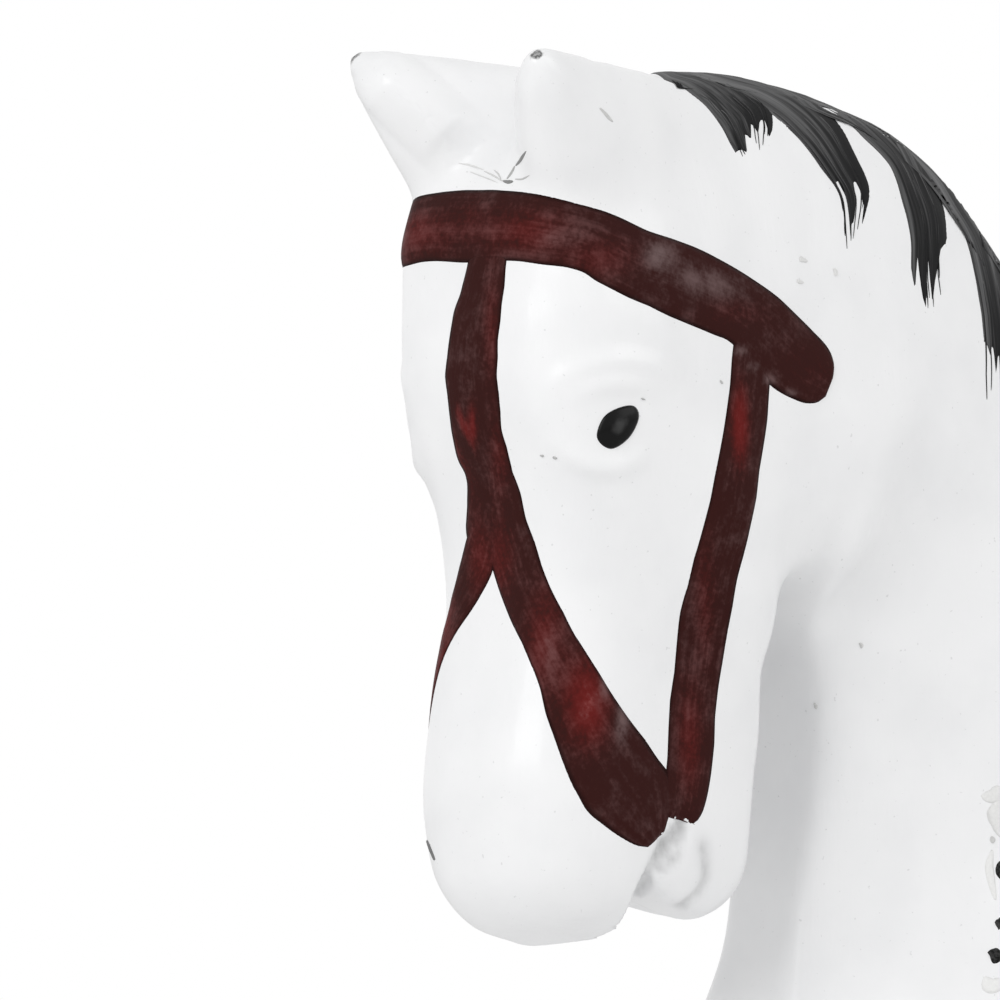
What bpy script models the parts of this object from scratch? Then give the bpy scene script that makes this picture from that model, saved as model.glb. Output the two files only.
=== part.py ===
"""A carved wooden horse that stands on four hooves, joined from blocks with glued dowels.

The horse faces -Y, its left side is +X and the table is the plane Z = 0. Lengths are in metres. The carved forms are
stacks of slices. Each slice runs from an outer to an inner point of the side view and swells sideways between them.
A setback is measured towards the tail, from the front of the forehead.
"""
import math

import bmesh
import bpy
from mathutils import Matrix, Vector

FOREHEAD_Y = -0.0867
BARREL_WIDTH = 0.0480
HEAD_WIDTH = 0.0246
NECK_WIDTH = 0.0360
LEG_SPREAD = 0.0290
FRONT_LEG_SETBACK = 0.0490
HIND_LEG_SETBACK = 0.1400
HOOF_LENGTH = 0.0186
HOOF_WIDTH = 0.0158
HOOF_HEIGHT = 0.0090
TAIL_WIDTH = 0.0140

GLUE_GAP = 0.0003
DOWEL_CLEARANCE = 0.0003
NECK_JOINT_SETBACK = 0.0640
NECK_JOINT_HEIGHT = 0.1240
NECK_JOINT_TILT = math.radians(14.6)
NECK_DOWEL_DIAMETER = 0.0080
NECK_DOWEL_LENGTH = 0.0280
NECK_DOWEL_SPACING = 0.0260
LEG_JOINT_HEIGHT = 0.0720
LEG_DOWEL_DIAMETER = 0.0040
LEG_DOWEL_LENGTH = 0.0160
LEG_DOWEL_SPACING = 0.0076
TAIL_JOINT_SETBACK = 0.1620
TAIL_JOINT_HEIGHT = 0.1230
TAIL_DOWEL_DIAMETER = 0.0040
TAIL_DOWEL_LENGTH = 0.0120
EAR_LEAN_OUT = math.radians(27)
EAR_LEAN_FORWARD = math.radians(21)
EAR_TENON_DIAMETER = 0.0034
EAR_TENON_LENGTH = 0.0060
EAR_TENON_ROOT = 0.0030
MOUTH_CORNER = (0.0142, 0.1355)
MOUTH_LIP = (0.0074, 0.1245)
MOUTH_OPENING = 0.0030

SLICE_SIDES = 20
SLICES_BETWEEN = 2
SQUARENESS = 2.2
DOWEL_SIDES = 16
SMOOTH_ANGLE = math.radians(40)
SAW_REACH = 0.4000
LEG_SAW = (0.0260, 0.0400, 0.1000)
EAR_SAW = (0.0200, 0.0200, 0.0300)

WHITE_PAINT = (0.86, 0.86, 0.85, 1.0)
BLACK_PAINT = (0.03, 0.03, 0.03, 1.0)
BEECH = (0.62, 0.43, 0.26, 1.0)
WHITE_ROUGHNESS = 0.35
BLACK_ROUGHNESS = 0.40
BEECH_ROUGHNESS = 0.60

# Outer setback and height, inner setback and height, share of the width, taper towards the outer point, squareness.
NECK_SLICES = (
    (0.1040, 0.1260, 0.0270, 0.0940, 0.94, 0.06, 2.2),
    (0.0960, 0.1360, 0.0262, 0.1090, 1.00, 0.12, 2.3),
    (0.0845, 0.1455, 0.0315, 0.1240, 0.88, 0.15, 2.4),
    (0.0750, 0.1570, 0.0336, 0.1355, 0.74, 0.18, 2.5),
    (0.0675, 0.1695, 0.0336, 0.1440, 0.66, 0.22, 2.6),
    (0.0585, 0.1817, 0.0325, 0.1505, 0.63, 0.26, 2.7),
)
HEAD_SLICES = (
    (0.0475, 0.1923, 0.0295, 0.1536, 0.94, 0.26, 2.9),
    (0.0334, 0.1972, 0.0275, 0.1544, 0.95, 0.22, 3.1),
    (0.0200, 0.1976, 0.0262, 0.1530, 0.98, 0.18, 3.3),
    (0.0084, 0.1948, 0.0256, 0.1512, 1.04, 0.12, 3.6),
    (0.0008, 0.1884, 0.0250, 0.1490, 1.08, 0.08, 4.0),
    (-0.0005, 0.1800, 0.0246, 0.1465, 1.04, 0.06, 4.0),
    (-0.0008, 0.1715, 0.0250, 0.1440, 0.98, 0.05, 3.9),
    (0.0016, 0.1635, 0.0255, 0.1415, 0.89, 0.05, 3.7),
    (0.0023, 0.1560, 0.0258, 0.1390, 0.83, 0.05, 3.5),
    (0.0009, 0.1485, 0.0261, 0.1365, 0.83, 0.03, 3.3),
    (-0.0004, 0.1415, 0.0263, 0.1338, 0.84, 0.00, 3.1),
    (-0.0006, 0.1355, 0.0263, 0.1314, 0.84, -0.03, 2.9),
    (0.0000, 0.1306, 0.0256, 0.1295, 0.78, -0.03, 2.7),
    (0.0028, 0.1270, 0.0238, 0.1281, 0.62, 0.00, 2.5),
    (0.0066, 0.1253, 0.0200, 0.1272, 0.30, 0.00, 2.3),
)
# Setback of the slice, height of the back and of the belly, share of the barrel's width, taper towards the back.
TRUNK_SLICES = (
    (0.0225, 0.1080, 0.0980, 0.16, 0.00),
    (0.0260, 0.1180, 0.0880, 0.50, 0.00),
    (0.0360, 0.1270, 0.0800, 0.77, 0.05),
    (0.0500, 0.1320, 0.0770, 0.90, 0.10),
    (0.0660, 0.1340, 0.0760, 0.96, 0.12),
    (0.0840, 0.1330, 0.0770, 1.00, 0.12),
    (0.1000, 0.1315, 0.0790, 1.00, 0.10),
    (0.1160, 0.1315, 0.0820, 0.98, 0.08),
    (0.1300, 0.1335, 0.0855, 0.97, 0.06),
    (0.1440, 0.1330, 0.0900, 0.90, 0.04),
    (0.1540, 0.1270, 0.0970, 0.72, 0.02),
    (0.1595, 0.1190, 0.1040, 0.44, 0.00),
    (0.1615, 0.1145, 0.1090, 0.16, 0.00),
)
# Height, shift towards the tail, depth, width and shift outwards of each slice of a leg above the hoof.
FRONT_LEG_SLICES = (
    (0.1215, 0.0040, 0.0200, 0.0120, -0.0085),
    (0.1120, 0.0005, 0.0270, 0.0170, -0.0040),
    (0.1010, -0.0015, 0.0275, 0.0186, -0.0008),
    (0.0895, -0.0012, 0.0245, 0.0178, 0.0000),
    (0.0780, -0.0005, 0.0205, 0.0162, 0.0000),
    (0.0660, 0.0000, 0.0172, 0.0144, -0.0003),
    (0.0560, 0.0000, 0.0146, 0.0126, -0.0005),
    (0.0475, -0.0006, 0.0148, 0.0128, -0.0005),
    (0.0410, -0.0002, 0.0124, 0.0116, -0.0005),
    (0.0300, 0.0002, 0.0108, 0.0098, -0.0005),
    (0.0210, 0.0004, 0.0110, 0.0098, -0.0005),
    (0.0155, 0.0008, 0.0134, 0.0114, -0.0005),
)
HIND_LEG_SLICES = (
    (0.1280, -0.0010, 0.0200, 0.0120, -0.0095),
    (0.1180, 0.0010, 0.0310, 0.0185, -0.0045),
    (0.1050, 0.0010, 0.0355, 0.0206, -0.0008),
    (0.0900, -0.0015, 0.0310, 0.0200, 0.0005),
    (0.0790, -0.0030, 0.0252, 0.0178, 0.0005),
    (0.0680, -0.0020, 0.0198, 0.0152, 0.0003),
    (0.0580, 0.0012, 0.0160, 0.0130, 0.0000),
    (0.0490, 0.0038, 0.0160, 0.0124, 0.0000),
    (0.0420, 0.0038, 0.0132, 0.0112, 0.0000),
    (0.0310, 0.0028, 0.0112, 0.0098, 0.0000),
    (0.0215, 0.0018, 0.0112, 0.0098, 0.0000),
    (0.0155, 0.0014, 0.0136, 0.0114, 0.0000),
)
PASTERN_RISE = 0.0022
PASTERN_SHARE = 0.74
CORONET_SHARE = 0.80
HOOF_LEAN = 0.0022
# Centre in x, setback and height, then the height and the thickness of each slice of an ear, root first.
# The ear is sawn off through the middle of its seat slice.
EAR_SEAT_SLICE = (0.0080, 0.0033, 0.1942, 0.0116, 0.0084)
EAR_SLICES = (
    (0.0035, 0.0160, 0.1885, 0.0190, 0.0120),
    (0.0056, 0.0095, 0.1908, 0.0172, 0.0112),
    EAR_SEAT_SLICE,
    (0.0102, -0.0010, 0.1975, 0.0056, 0.0046),
    (0.0111, -0.0027, 0.1990, 0.0022, 0.0022),
    (0.0114, -0.0032, 0.1994, 0.0006, 0.0006),
)
# Outer setback and height, inner setback and height and share of the tail's width, from the croup down.
TAIL_SLICES = (
    (0.1480, 0.1275, 0.1480, 0.1185, 0.50),
    (0.1565, 0.1300, 0.1555, 0.1188, 0.58),
    (0.1645, 0.1300, 0.1600, 0.1172, 0.70),
    (0.1718, 0.1235, 0.1630, 0.1125, 0.84),
    (0.1758, 0.1105, 0.1645, 0.1030, 0.96),
    (0.1768, 0.0940, 0.1650, 0.0905, 1.00),
    (0.1755, 0.0780, 0.1648, 0.0775, 0.90),
    (0.1718, 0.0640, 0.1638, 0.0655, 0.66),
    (0.1668, 0.0548, 0.1622, 0.0565, 0.36),
    (0.1640, 0.0515, 0.1630, 0.0522, 0.10),
)


def clear_scene():
    """Remove every object, so that only the horse is left."""
    for leftover in list(bpy.data.objects):
        bpy.data.objects.remove(leftover, do_unlink=True)


def finish(name, colour, roughness):
    """A plain coat of one colour."""
    coat = bpy.data.materials.new(name)
    coat.use_nodes = True
    shader = coat.node_tree.nodes["Principled BSDF"]
    shader.inputs["Base Color"].default_value = colour
    shader.inputs["Roughness"].default_value = roughness
    shader.inputs["Metallic"].default_value = 0.0
    return coat


def place(x, setback, height):
    """World point of a side position x, a setback from the forehead and a height above the table."""
    return Vector((x, FOREHEAD_Y + setback, height))


def smooth_rows(rows):
    """Catmull-Rom curve through the rows, with SLICES_BETWEEN steps from each row to the next."""
    first = [2 * a - b for a, b in zip(rows[0], rows[1])]
    last = [2 * a - b for a, b in zip(rows[-1], rows[-2])]
    knots = [first, *rows, last]
    result = []
    for index in range(len(rows) - 1):
        for step in range(SLICES_BETWEEN):
            t = step / SLICES_BETWEEN
            row = []
            for a, b, c, d in zip(*knots[index:index + 4]):
                bend = 2 * a - 5 * b + 4 * c - d + t * (3 * (b - c) + d - a)
                row.append(b + 0.5 * t * (c - a + t * bend))
            result.append(row)
    result.append(rows[-1])
    return result


def ring(centre, outward, sideways, taper=0.0, squareness=SQUARENESS):
    """Closed outline of one slice: a soft square whose side narrows towards its outer point."""
    points = []
    for index in range(SLICE_SIDES):
        angle = 2 * math.pi * index / SLICE_SIDES
        along = math.copysign(abs(math.cos(angle)) ** (2 / squareness), math.cos(angle))
        across = math.copysign(abs(math.sin(angle)) ** (2 / squareness), math.sin(angle))
        points.append(centre + along * outward + across * (1 - taper * along) * sideways)
    return points


def side_ring(outer, inner, half_width, taper=0.0, squareness=SQUARENESS, x=0.0):
    """Slice between an outer and an inner point of the side view, each a setback and a height."""
    front = place(x, *outer)
    back = place(x, *inner)
    return ring((front + back) / 2, (front - back) / 2, Vector((half_width, 0, 0)), taper, squareness)


def link(name, mesh, coat):
    """Put a mesh into the scene as a named object with smooth shading and one material."""
    piece = bpy.data.objects.new(name, mesh)
    bpy.context.collection.objects.link(piece)
    mesh.materials.append(coat)
    mesh.shade_smooth()
    mesh.set_sharp_from_angle(angle=SMOOTH_ANGLE)
    return piece


def guide(piece):
    """Mark an object as a shape to cut or join with, which is no piece of the horse."""
    piece.hide_render = True
    piece.display_type = "WIRE"
    return piece


def loft(name, rings, coat):
    """Skin over a stack of rings, closed at both ends."""
    form = bmesh.new()
    loops = [[form.verts.new(point) for point in points] for points in rings]
    for lower, upper in zip(loops, loops[1:]):
        for index in range(SLICE_SIDES):
            after = (index + 1) % SLICE_SIDES
            form.faces.new((lower[index], lower[after], upper[after], upper[index]))
    form.faces.new(loops[0])
    form.faces.new(loops[-1])
    bmesh.ops.triangulate(form, faces=form.faces[:])
    bmesh.ops.recalc_face_normals(form, faces=form.faces[:])
    mesh = bpy.data.meshes.new(name)
    form.to_mesh(mesh)
    form.free()
    return guide(link(name, mesh, coat))


def neck_and_head_form(coat):
    """The arched neck, which fans over the throat and runs down the face to the muzzle."""
    rows = [(*row[:4], row[4] * NECK_WIDTH / 2, *row[5:]) for row in NECK_SLICES]
    rows += [(*row[:4], row[4] * HEAD_WIDTH / 2, *row[5:]) for row in HEAD_SLICES]
    rings = [side_ring(row[0:2], row[2:4], *row[4:]) for row in smooth_rows(rows)]
    return loft("neck_and_head_form", rings, coat)


def trunk_form(coat):
    """The barrel from the chest to the rump, in upright slices."""
    rings = []
    for setback, back, belly, share, taper in smooth_rows(TRUNK_SLICES):
        rings.append(side_ring((setback, back), (setback, belly), share * BARREL_WIDTH / 2, taper))
    return loft("trunk_form", rings, coat)


def leg_form(name, slices, setback, side, coat):
    """One leg from inside the trunk to the sole, in level slices."""
    _, shift, depth, width, outward = slices[-1]
    pastern = HOOF_HEIGHT + PASTERN_RISE
    rows = list(slices)
    rows.append((pastern, shift / 2, depth * PASTERN_SHARE, width * PASTERN_SHARE, outward))
    rows.append((HOOF_HEIGHT, 0.0, HOOF_LENGTH * CORONET_SHARE, HOOF_WIDTH * CORONET_SHARE, outward))
    rows.append((0.0, -HOOF_LEAN, HOOF_LENGTH, HOOF_WIDTH, outward))
    rings = []
    for height, shift, depth, width, outward in smooth_rows(rows):
        front = setback + shift - depth / 2
        x = side * (LEG_SPREAD / 2 + outward)
        rings.append(side_ring((front, height), (front + depth, height), width / 2, x=x))
    return loft(name, rings, coat)


def ear_form(name, side, coat):
    """A horn that leans forwards and outwards from the poll."""
    rows = smooth_rows(EAR_SLICES)
    root = place(*rows[0][:3])
    tip = place(*rows[-1][:3])
    axis = (tip - root).normalized()
    flat = axis.cross(Vector((0, 0, 1))).normalized()
    tall = flat.cross(axis)
    mirror = Matrix.Diagonal((side, 1, 1))
    rings = []
    for x, setback, height, tallness, thickness in rows:
        outline = ring(place(x, setback, height), tall * tallness / 2, flat * thickness / 2)
        rings.append([mirror @ point for point in outline])
    return loft(name, rings, coat)


def tail_form(coat):
    """The tail, which leaves the croup, arches back and hangs down."""
    rings = []
    for row in smooth_rows(TAIL_SLICES):
        rings.append(side_ring(row[0:2], row[2:4], row[4] * TAIL_WIDTH / 2))
    return loft("tail_form", rings, coat)


def seat(point, normal):
    """Frame of a glued joint: its origin on the seat and its Z axis along the normal."""
    turn = Vector(normal).to_track_quat("Z", "Y").to_matrix().to_4x4()
    return Matrix.Translation(point) @ turn


def saw(name, frame, above, coat, size=(SAW_REACH, SAW_REACH, SAW_REACH)):
    """Block on one side of a seat, which cuts that side away and half the glue gap with it."""
    rise = (size[2] - GLUE_GAP) / 2
    shift = Matrix.Translation((0, 0, rise if above else -rise))
    form = bmesh.new()
    bmesh.ops.create_cube(form, size=1.0, matrix=shift @ Matrix.Diagonal((*size, 1)))
    mesh = bpy.data.meshes.new(name)
    form.to_mesh(mesh)
    form.free()
    cutter = guide(link(name, mesh, coat))
    cutter.matrix_world = frame
    return cutter


def peg(name, frame, diameter, low, high, coat):
    """Round peg along the Z axis of a seat, from low to high."""
    form = bmesh.new()
    middle = Matrix.Translation((0, 0, (low + high) / 2))
    radius = diameter / 2
    bmesh.ops.create_cone(form, cap_ends=True, segments=DOWEL_SIDES, radius1=radius, radius2=radius,
                          depth=high - low, matrix=middle)
    mesh = bpy.data.meshes.new(name)
    form.to_mesh(mesh)
    form.free()
    piece = link(name, mesh, coat)
    piece.matrix_world = frame
    return piece


def hole(name, frame, diameter, low, high, coat):
    """Drilled hole for a peg, larger all round by the dowel clearance."""
    wide = diameter + 2 * DOWEL_CLEARANCE
    return guide(peg(name, frame, wide, low - DOWEL_CLEARANCE, high + DOWEL_CLEARANCE, coat))


def dowel(name, frame, diameter, length, coat):
    """Set a dowel half in each side of a seat, and return the hole that is drilled for it."""
    peg(name, frame, diameter, -length / 2, length / 2, coat)
    return hole(name + "_hole", frame, diameter, -length / 2, length / 2, coat)


def mouth_cut(coat):
    """Wedge across the head, from the corner of the mouth down to the lips."""
    corner = place(0, *MOUTH_CORNER)
    lip = place(0, *MOUTH_LIP)
    across = (lip - corner).cross(Vector((1, 0, 0))).normalized() * MOUTH_OPENING / 2
    reach = Vector((HEAD_WIDTH, 0, 0))
    form = bmesh.new()
    near = form.faces.new([form.verts.new(point - reach) for point in (corner, lip + across, lip - across)])
    swept = bmesh.ops.extrude_face_region(form, geom=[near])["geom"]
    far = [item for item in swept if isinstance(item, bmesh.types.BMVert)]
    bmesh.ops.translate(form, verts=far, vec=2 * reach)
    bmesh.ops.recalc_face_normals(form, faces=form.faces[:])
    mesh = bpy.data.meshes.new("mouth_cut")
    form.to_mesh(mesh)
    form.free()
    return guide(link("mouth_cut", mesh, coat))


def carve(name, base, steps, coat):
    """A piece of the horse: a copy of its form, joined with and cut by other forms in turn."""
    mesh = base.data.copy()
    mesh.materials.clear()
    piece = link(name, mesh, coat)
    for operation, tool in steps:
        step = piece.modifiers.new(tool.name, "BOOLEAN")
        step.operation = operation
        step.solver = "EXACT"
        step.object = tool
    return piece


def joins(*tools):
    """Steps that join each tool."""
    return [("UNION", tool) for tool in tools]


def cuts(*tools):
    """Steps that cut each tool away."""
    return [("DIFFERENCE", tool) for tool in tools]


def joint_shift(slices):
    """Shift towards the tail and outwards of a leg's slice at the height of its joint."""
    for above, below in zip(slices, slices[1:]):
        if below[0] <= LEG_JOINT_HEIGHT <= above[0]:
            share = (above[0] - LEG_JOINT_HEIGHT) / (above[0] - below[0])
            return [a + share * (b - a) for a, b in zip(above[1::3], below[1::3])]
    return slices[0][1::3]


def make_leg(name, slices, setback, side, white, beech):
    """Carve one leg and set its two dowels. Return its form and what is cut from the trunk for it."""
    form = leg_form(name + "_form", slices, setback, side, white)
    shift, outward = joint_shift(slices)
    frame = Matrix.Translation(place(side * (LEG_SPREAD / 2 + outward), setback + shift, LEG_JOINT_HEIGHT))
    holes = []
    for end, sense in (("front", -0.5), ("rear", 0.5)):
        spot = frame @ Matrix.Translation((0, sense * LEG_DOWEL_SPACING, 0))
        holes.append(dowel(f"{name}_{end}_dowel", spot, LEG_DOWEL_DIAMETER, LEG_DOWEL_LENGTH, beech))
    top = saw(name + "_top", frame, True, white)
    carve(name, form, cuts(top, *holes), white)
    below = saw(name + "_seat", frame, False, white, LEG_SAW)
    return form, [below, *holes]


def make_ear(name, side, white):
    """Carve one ear with its tenon. Return its form and what is cut from the head for it."""
    form = ear_form(name + "_form", side, white)
    lean = Vector((side * math.tan(EAR_LEAN_OUT), -math.tan(EAR_LEAN_FORWARD), 1))
    x, setback, height = EAR_SEAT_SLICE[:3]
    frame = seat(place(side * x, setback, height), lean)
    root = saw(name + "_root", frame, False, white)
    tenon = guide(peg(name + "_tenon", frame, EAR_TENON_DIAMETER, -EAR_TENON_LENGTH, EAR_TENON_ROOT, white))
    carve(name, form, cuts(root) + joins(tenon), white)
    above = saw(name + "_seat", frame, True, white, EAR_SAW)
    return form, [above, hole(name + "_hole", frame, EAR_TENON_DIAMETER, -EAR_TENON_LENGTH, 0.0, white)]


def make_tail(white, black, beech):
    """Carve the tail and set its dowel. Return its form and what is cut from the trunk for it."""
    form = tail_form(black)
    frame = seat(place(0, TAIL_JOINT_SETBACK, TAIL_JOINT_HEIGHT), (0, 1, 0))
    drilled = dowel("tail_dowel", frame, TAIL_DOWEL_DIAMETER, TAIL_DOWEL_LENGTH, beech)
    carve("tail", form, cuts(saw("tail_root", frame, False, black), drilled), black)
    return form, [saw("tail_seat", frame, True, white), drilled]


def build():
    """Carve the blocks, drill them and set the dowels."""
    clear_scene()
    white = finish("white_paint", WHITE_PAINT, WHITE_ROUGHNESS)
    black = finish("black_paint", BLACK_PAINT, BLACK_ROUGHNESS)
    beech = finish("beech", BEECH, BEECH_ROUGHNESS)

    neck = neck_and_head_form(white)
    barrel = trunk_form(white)
    normal = (0, -math.sin(NECK_JOINT_TILT), math.cos(NECK_JOINT_TILT))
    neck_seat = seat(place(0, NECK_JOINT_SETBACK, NECK_JOINT_HEIGHT), normal)
    neck_holes = []
    for name, sense in (("neck_front_dowel", -0.5), ("neck_rear_dowel", 0.5)):
        spot = neck_seat @ Matrix.Translation((0, sense * NECK_DOWEL_SPACING, 0))
        neck_holes.append(dowel(name, spot, NECK_DOWEL_DIAMETER, NECK_DOWEL_LENGTH, beech))

    ear_forms = []
    head_cuts = [saw("neck_root", neck_seat, False, white), *neck_holes, mouth_cut(white)]
    trunk_forms = [neck]
    trunk_cuts = [saw("neck_seat", neck_seat, True, white), *neck_holes]
    for hand, side in (("left", 1), ("right", -1)):
        form, removed = make_ear(f"{hand}_ear", side, white)
        ear_forms.append(form)
        head_cuts += removed
        for end, slices, setback in (("front", FRONT_LEG_SLICES, FRONT_LEG_SETBACK),
                                     ("hind", HIND_LEG_SLICES, HIND_LEG_SETBACK)):
            form, removed = make_leg(f"{end}_{hand}_leg", slices, setback, side, white, beech)
            trunk_forms.append(form)
            trunk_cuts += removed
    form, removed = make_tail(white, black, beech)
    carve("head_and_neck", neck, joins(barrel, *ear_forms) + cuts(*head_cuts), white)
    carve("trunk", barrel, joins(*trunk_forms, form) + cuts(*trunk_cuts, *removed), white)


build()
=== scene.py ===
# %% [markdown]
# # A carved horse under white paint
# The real thing is a small wooden horse. Someone carved it, glued its blocks together, brushed it white and
# then painted a dark red bridle, a black mane and two black eyes on it with a soft brush. The blocks and
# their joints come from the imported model, which is loaded first and stays where it is. This file gives
# those blocks their finished skin.

# %% Load the frame
import math

import bmesh
import bpy
import numpy as np
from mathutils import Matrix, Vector
from mathutils.bvhtree import BVHTree


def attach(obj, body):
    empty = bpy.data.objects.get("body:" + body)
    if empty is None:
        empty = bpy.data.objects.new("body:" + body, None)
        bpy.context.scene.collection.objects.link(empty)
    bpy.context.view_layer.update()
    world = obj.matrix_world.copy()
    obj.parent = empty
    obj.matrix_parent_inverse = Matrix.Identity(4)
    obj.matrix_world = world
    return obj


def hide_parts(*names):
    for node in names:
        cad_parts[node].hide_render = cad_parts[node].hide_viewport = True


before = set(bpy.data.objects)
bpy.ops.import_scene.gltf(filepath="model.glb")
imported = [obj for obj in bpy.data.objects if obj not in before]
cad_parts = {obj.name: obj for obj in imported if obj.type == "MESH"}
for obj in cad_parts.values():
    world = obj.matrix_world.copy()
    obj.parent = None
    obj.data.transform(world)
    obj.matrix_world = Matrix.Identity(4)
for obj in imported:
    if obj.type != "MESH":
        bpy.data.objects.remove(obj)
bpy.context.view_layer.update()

# %% [markdown]
# ## Where the photographer stood
# A setback is a distance behind the forehead, towards the tail. The camera stands level with the face, in
# front of the horse's left cheek, and a long lens keeps near and far at nearly the same scale. The same few
# numbers turn a pixel of the picture into a ray, so a brush stroke can be laid on the wood exactly where
# the picture shows it.

# %% The camera's numbers
FOREHEAD_Y = -0.0867
PICTURE_SIDE = 1000
PIXELS_PER_METRE = 12000.0
CAMERA_TURN = math.radians(48)
CAMERA_DISTANCE = 2.5
SENSOR = 36.0
AIM = np.array([0.0, FOREHEAD_Y + 0.00314, 0.1625])

towards_camera = np.array([math.sin(CAMERA_TURN), -math.cos(CAMERA_TURN), 0.0])
picture_right = np.array([math.cos(CAMERA_TURN), math.sin(CAMERA_TURN), 0.0])
picture_up = np.array([0.0, 0.0, 1.0])
camera_place = AIM + CAMERA_DISTANCE * towards_camera


def picture_points(pixels):
    """Points of the plane through AIM that faces the camera, under pixels given as (column, row)."""
    offset = (np.asarray(pixels, float) - PICTURE_SIDE / 2) / PIXELS_PER_METRE
    return AIM + offset[:, :1] * picture_right - offset[:, 1:] * picture_up


def left_side(points):
    """The points, with those of the right side mirrored to the left."""
    return np.abs(points * (1, 0, 0)) + points * (0, 1, 1)


def picture_pixels(points):
    """Where the camera sees points of the left side, or the mirror images of points of the right side."""
    offset = left_side(points) - AIM
    scale = PIXELS_PER_METRE * CAMERA_DISTANCE / (CAMERA_DISTANCE - offset @ towards_camera)
    return PICTURE_SIDE / 2 + np.stack([offset @ picture_right, -offset @ picture_up], -1) * scale[:, None]


print("camera at", camera_place.round(3))

# %% [markdown]
# ## Slices
# A carver draws the side of the animal on the block, saws it out and then rounds it. The tables do the
# same: each row is one slice between an outer and an inner point of the side view, with a width. They are
# the values of the solid blocks, so the skin lies on the solids; only the chest is lower in front, where
# the neck's foot covers it.

# %% Slice tables
HEAD_WIDTH = 0.0246
NECK_WIDTH = 0.0360
BARREL_WIDTH = 0.0480
TAIL_WIDTH = 0.0140
LEG_SPREAD = 0.0290
FRONT_LEG_SETBACK = 0.0490
HIND_LEG_SETBACK = 0.1400
HOOF_LENGTH, HOOF_WIDTH, HOOF_HEIGHT, HOOF_LEAN = 0.0186, 0.0158, 0.0090, 0.0022
PASTERN_RISE, PASTERN_SHARE, CORONET_SHARE = 0.0022, 0.74, 0.80
SQUARENESS = 2.2

# Outer setback and height, inner setback and height, share of the width, taper towards the outer point,
# squareness.
NECK_SLICES = (
    (0.1040, 0.1260, 0.0270, 0.0940, 0.94, 0.06, 2.2),
    (0.0960, 0.1360, 0.0262, 0.1090, 1.00, 0.12, 2.3),
    (0.0845, 0.1455, 0.0315, 0.1240, 0.88, 0.15, 2.4),
    (0.0750, 0.1570, 0.0336, 0.1355, 0.74, 0.18, 2.5),
    (0.0675, 0.1695, 0.0336, 0.1440, 0.66, 0.22, 2.6),
    (0.0585, 0.1817, 0.0325, 0.1505, 0.63, 0.26, 2.7),
)
HEAD_SLICES = (
    (0.0475, 0.1923, 0.0295, 0.1536, 0.94, 0.26, 2.9),
    (0.0334, 0.1972, 0.0275, 0.1544, 0.95, 0.22, 3.1),
    (0.0200, 0.1976, 0.0262, 0.1530, 0.98, 0.18, 3.3),
    (0.0084, 0.1948, 0.0256, 0.1512, 1.04, 0.12, 3.6),
    (0.0008, 0.1884, 0.0250, 0.1490, 1.08, 0.08, 4.0),
    (-0.0005, 0.1800, 0.0246, 0.1465, 1.04, 0.06, 4.0),
    (-0.0008, 0.1715, 0.0250, 0.1440, 0.98, 0.05, 3.9),
    (0.0016, 0.1635, 0.0255, 0.1415, 0.89, 0.05, 3.7),
    (0.0023, 0.1560, 0.0258, 0.1390, 0.83, 0.05, 3.5),
    (0.0009, 0.1485, 0.0261, 0.1365, 0.83, 0.03, 3.3),
    (-0.0004, 0.1415, 0.0263, 0.1338, 0.84, 0.00, 3.1),
    (-0.0006, 0.1355, 0.0263, 0.1314, 0.84, -0.03, 2.9),
    (0.0000, 0.1306, 0.0256, 0.1295, 0.78, -0.03, 2.7),
    (0.0028, 0.1270, 0.0238, 0.1281, 0.62, 0.00, 2.5),
    (0.0066, 0.1253, 0.0200, 0.1272, 0.30, 0.00, 2.3),
)
# Setback, height of the back and of the belly, share of the barrel's width, taper towards the back.
TRUNK_SLICES = (
    (0.0225, 0.1080, 0.0980, 0.16, 0.00),
    (0.0260, 0.1130, 0.0880, 0.50, 0.00),
    (0.0360, 0.1195, 0.0800, 0.77, 0.05),
    (0.0500, 0.1275, 0.0770, 0.90, 0.10),
    (0.0660, 0.1340, 0.0760, 0.96, 0.12),
    (0.0840, 0.1330, 0.0770, 1.00, 0.12),
    (0.1000, 0.1315, 0.0790, 1.00, 0.10),
    (0.1160, 0.1315, 0.0820, 0.98, 0.08),
    (0.1300, 0.1335, 0.0855, 0.97, 0.06),
    (0.1440, 0.1330, 0.0900, 0.90, 0.04),
    (0.1540, 0.1270, 0.0970, 0.72, 0.02),
    (0.1595, 0.1190, 0.1040, 0.44, 0.00),
    (0.1615, 0.1145, 0.1090, 0.16, 0.00),
)
# Height, shift towards the tail, depth, width and shift outwards of each slice of a leg above the hoof.
FRONT_LEG_SLICES = (
    (0.1215, 0.0040, 0.0200, 0.0120, -0.0085),
    (0.1120, 0.0005, 0.0270, 0.0170, -0.0040),
    (0.1010, -0.0015, 0.0275, 0.0186, -0.0008),
    (0.0895, -0.0012, 0.0245, 0.0178, 0.0000),
    (0.0780, -0.0005, 0.0205, 0.0162, 0.0000),
    (0.0660, 0.0000, 0.0172, 0.0144, -0.0003),
    (0.0560, 0.0000, 0.0146, 0.0126, -0.0005),
    (0.0475, -0.0006, 0.0148, 0.0128, -0.0005),
    (0.0410, -0.0002, 0.0124, 0.0116, -0.0005),
    (0.0300, 0.0002, 0.0108, 0.0098, -0.0005),
    (0.0210, 0.0004, 0.0110, 0.0098, -0.0005),
    (0.0155, 0.0008, 0.0134, 0.0114, -0.0005),
)
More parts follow.
